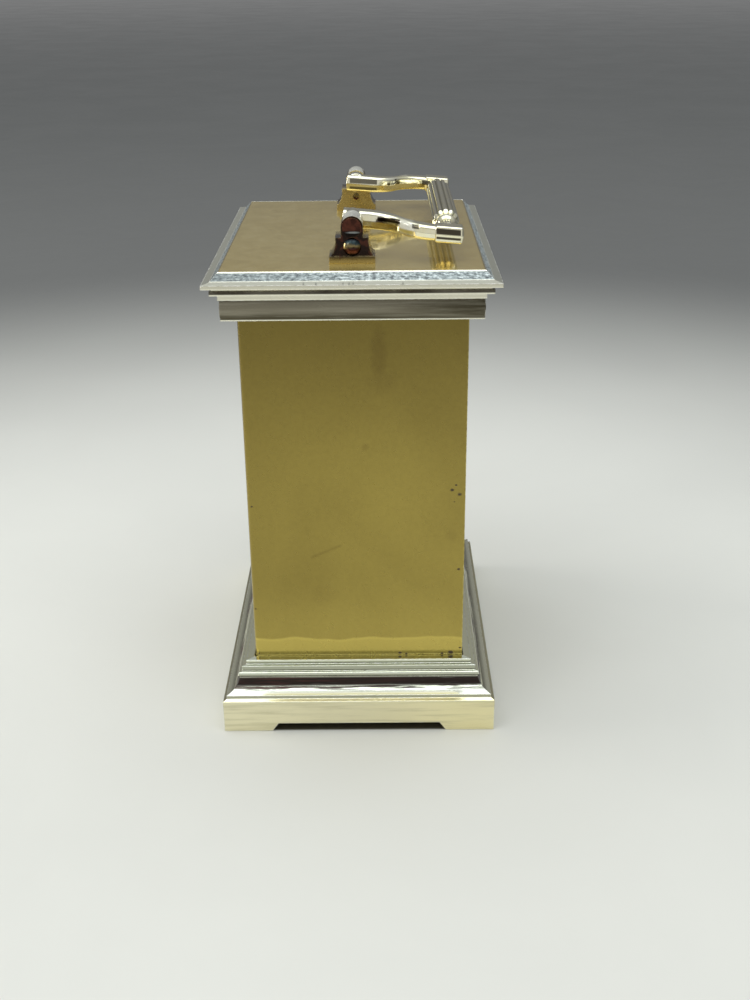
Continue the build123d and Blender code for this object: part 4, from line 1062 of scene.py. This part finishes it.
def makeCoilCopper(setup):
    material, tree, shader = startFinish("coilCopper")
    values = {"Vector": objectPoint(tree), "Scale": 0.1 / setup["wire"], "Distortion": 0.6, "Detail": 2.0}
    turns = addNode(tree, "TexWave", values, bands_direction="X").outputs["Fac"]
    drift = place(tree, cloudPatches, scale=300.0, low=0.35, high=0.7)
    wound = mixColor(drift["Mask"], setup["tint"], darker(setup["tint"], 0.8))
    # painted shade in the grooves between the wire's turns
    cover(shader, mixColor(turns, setup["grooveShade"], wound), spread(drift["Value"], *setup["rough"]), 1.0)
    addBump(shader, turns, 0.06 * mm, 0.8)
    return material


cellWrap = {
    "sleeve": (0.060, 0.065, 0.075),
    "band": (0.62, 0.63, 0.64),
    "metal": (0.70, 0.70, 0.68),
    "scuff": (0.22, 0.22, 0.23),
    "rough": 0.26,
}


def makeCellWrap(setup):
    material, tree, shader = startFinish("cellWrap")
    low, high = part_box("battery")
    axis = max(range(3), key=lambda i: high[i] - low[i])
    along, start, end = where(tree)[axis], low[axis], high[axis]
    # bare metal at both ends of the sleeve, and a pale band near one of them
    sleeve = ramp(along, start + 1.2 * mm, start + 1.5 * mm)
    sleeve = times(sleeve, ramp(along, end - 2.6 * mm, end - 2.9 * mm))
    pale = ramp(along, end - 12.0 * mm, end - 11.8 * mm)
    pale = times(pale, ramp(along, end - 8.0 * mm, end - 8.2 * mm))
    scuffs = place(tree, fineScratches, scale=900.0, cut=0.66)
    printed = mixColor(pale, setup["sleeve"], setup["band"])
    printed = lay(printed, setup["scuff"], scuffs, share=0.4)
    rough = plus(setup["rough"], times(scuffs, 0.15))
    cover(shader, mixColor(sleeve, setup["metal"], printed), rough, minus(1.0, sleeve))
    addBump(shader, scuffs, 0.02 * mm, 0.4)
    return material


dress(makePlinthPlating(plinthPlating), "base_plinth")
dress(makeCornicePlating(cornicePlating), "top_cornice")
dress(makeHandlePlating("handlePlating", handlePlating), "grip_collars", "front_bezel", "door_knob")
dress(makeHandlePlating("armPlating", handlePlating, addArmReflections), "handle_arm_right", "handle_arm_left")
dress(makeHandlePlating("gripPlating", handlePlating, addReedShade), "handle_grip")
dress(makePanelBrass(panelBrass), "case_shell", "rear_door")
dress(makeTopBrass(topBrass), "top_plate")
dress(makeBracketBrass(bracketBrass), "bracket_right", "bracket_left")
dress(makeRivetBrass(rivetBrass), "bracket_rivets")
dress(makePinBrass(pinBrass), "handle_pivot_pins")
dress(makeMachinedMetal("zincSteel", zincSteel), "tie_rods", "tie_rod_nuts", "bracket_screws", "dial_screws",
      "movement_screws", "base_plate", "door_strike_plate", "grip_rod", "door_hinge_pins")
dress(makeMachinedMetal("springSteel", springSteel), "coil_core", "stator_plate", "quartz_crystal",
      "battery_contact_positive", "battery_contact_negative")
dress(makeMachinedMetal("turnedBrass", turnedBrass), "mounting_nut", "mounting_washer")
dress(makeMachinedMetal("ferrite", ferrite), "rotor_magnet", "door_magnet")
dress(makeClearGlass(clearGlass), "front_glass")
dress(makeDialEnamel(dialEnamel), "dial_plate")
dress(makePaint("handLacquer", handLacquer), "hour_hand", "minute_hand", "second_hand")
dress(makeMoulding("blackMoulding", blackMoulding), "dial_frame", "movement_front_shell",
      "movement_rear_cover", "setting_knob", "driver_chip")
dress(makeMoulding("whiteAcetal", whiteAcetal), "train_plate", "hour_wheel", "minute_pipe", "motion_wheel",
      "seconds_wheel", "third_wheel", "centre_wheel", "intermediate_wheel", "rotor_pinion")
dress(makeMoulding("boardLaminate", boardLaminate), "circuit_board")
dress(makeCoilCopper(coilCopper), "coil_winding")
dress(makeCellWrap(cellWrap), "battery")
print("finishes on", sum(len(o.material_slots) for o in nodes.values()), "slots")


# printed dial: numerals, minute ring and border, a film of ink on the plate's face

dialPrint = {  # millimetres
    "middle": (0.0, 65.75),
    "front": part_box("dial_plate")[0].y / mm,
    "film": 0.04,
    "numeralFoot": 18.9,
    "numeralHeight": 5.2,
    "thick": 0.95,
    "thin": 0.28,
    "serif": 0.24,
    "serifReach": 0.32,
    "serifLift": 0.005,
    "ringOuter": 27.0,
    "ringInner": 25.4,
    "ringLine": 0.18,
    "hourTick": 0.42,
    "minuteTick": 0.11,
    "tickInset": 0.1,
    "tickLift": 0.006,
    "border": (27.9, 34.9),
    "borderLine": 0.22,
    "borderStep": 0.8,
}

letterShapes = {  # strokes from foot to head as (u0, u1, weight), then the letter's width
    "I": ([(0.0, 0.0, "thick")], 1.25),
    "V": ([(0.0, -1.0, "thick"), (0.0, 1.0, "thin")], 2.9),
    "X": ([(1.05, -1.05, "thick"), (-1.05, 1.05, "thin")], 3.0),
}
hourNames = ["XII", "I", "II", "III", "IIII", "V", "VI", "VII", "VIII", "IX", "X", "XI"]


def boxOutline(left, low, right, high):
    return [(left, low), (right, low), (right, high), (left, high)]


def circleOutline(radius, sides=120):
    turns = [2 * math.pi * i / sides for i in range(sides)]
    return [(radius * math.sin(turn), radius * math.cos(turn)) for turn in turns]


def turnedOutline(outline, turn):
    # points across and along the upright radius, turned clockwise about the dial's middle
    across, along = math.cos(turn), math.sin(turn)
    return [(u * across + v * along, -u * along + v * across) for u, v in outline]


def addLoop(form, outline, setup, level):
    x0, z0 = setup["middle"]
    return [form.verts.new(((x0 + x) * mm, level * mm, (z0 + z) * mm)) for x, z in outline]


def joinLoops(form, one, two):
    count = len(one)
    for i in range(count):
        follow = (i + 1) % count
        form.faces.new((one[follow], one[i], two[i], two[follow]))


def addFlat(form, outline, setup, lift=0.0):
    # one flat shape about the dial's middle, raised by the film
    level = setup["front"] - lift
    front = addLoop(form, outline, setup, level - setup["film"])
    back = addLoop(form, outline, setup, level)
    form.faces.new(front)
    form.faces.new(back[::-1])
    joinLoops(form, front, back)


def addBand(form, inner, outer, setup):
    # one closed band between two outlines that have as many points
    level = setup["front"]
    face = level - setup["film"]
    corners = ((inner, face), (outer, face), (outer, level), (inner, level))
    loops = [addLoop(form, outline, setup, height) for outline, height in corners]
    for one, two in zip(loops, loops[1:] + loops[:1]):
        joinLoops(form, one, two)


def finishPrint(name, form, material):
    bmesh.ops.remove_doubles(form, verts=form.verts, dist=0.001 * mm)
    bmesh.ops.recalc_face_normals(form, faces=form.faces)
    mesh = bpy.data.meshes.new(name)
    form.to_mesh(mesh)
    form.free()
    piece = bpy.data.objects.new(name, mesh)
    mesh.materials.append(material)
    bpy.context.scene.collection.objects.link(piece)
    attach(piece, "case")


def addLetter(form, letter, middle, turn, setup):
    foot, head, serif = setup["numeralFoot"], setup["numeralFoot"] + setup["numeralHeight"], setup["serif"]
    heads, feet = [], []
    for low, top, weight in letterShapes[letter][0]:
        half = setup[weight] / 2
        footEnds = (middle + low - half, middle + low + half)
        headEnds = (middle + top - half, middle + top + half)
        stroke = [(footEnds[0], foot), (footEnds[1], foot), (headEnds[1], head), (headEnds[0], head)]
        addFlat(form, turnedOutline(stroke, turn), setup)
        feet += footEnds
        heads += headEnds
    ends = [(foot, feet), (head - serif, heads)]
    if letter == "V":
        ends = ends[1:]  # a V stands on its point
    for level, reaches in ends:
        left, right = min(reaches) - setup["serifReach"], max(reaches) + setup["serifReach"]
        outline = boxOutline(left, level, right, level + serif)
        addFlat(form, turnedOutline(outline, turn), setup, setup["serifLift"])


def makeNumerals(setup, material):
    form = bmesh.new()
    for hour, word in enumerate(hourNames):
        start = -sum(letterShapes[letter][1] for letter in word) / 2
        for letter in word:
            wide = letterShapes[letter][1]
            addLetter(form, letter, start + wide / 2, 2 * math.pi * hour / 12, setup)
            start += wide
    finishPrint("dialNumerals", form, material)


def makeMinuteRing(setup, material):
    form = bmesh.new()
    inner, outer, line, inset = setup["ringInner"], setup["ringOuter"], setup["ringLine"], setup["tickInset"]
    for radius in (inner, outer - line):
        addBand(form, circleOutline(radius), circleOutline(radius + line), setup)
    for minute in range(60):
        half = setup["minuteTick" if minute % 5 else "hourTick"]
        outline = boxOutline(-half, inner + inset, half, outer - inset)
        addFlat(form, turnedOutline(outline, 2 * math.pi * minute / 60), setup, setup["tickLift"])
    finishPrint("dialMinuteRing", form, material)


def makeBorder(setup, material):
    form = bmesh.new()
    for step, line in ((0.0, setup["borderLine"]), (setup["borderStep"], setup["borderLine"] * 0.5)):
        x, z = setup["border"][0] - step, setup["border"][1] - step
        inner = boxOutline(line - x, line - z, x - line, z - line)
        addBand(form, inner, boxOutline(-x, -z, x, z), setup)
    finishPrint("dialBorder", form, material)


inkFinish = makePaint("dialInk", dialInk)
makeNumerals(dialPrint, inkFinish)
makeMinuteRing(dialPrint, inkFinish)
makeBorder(dialPrint, inkFinish)
print("dial printed")
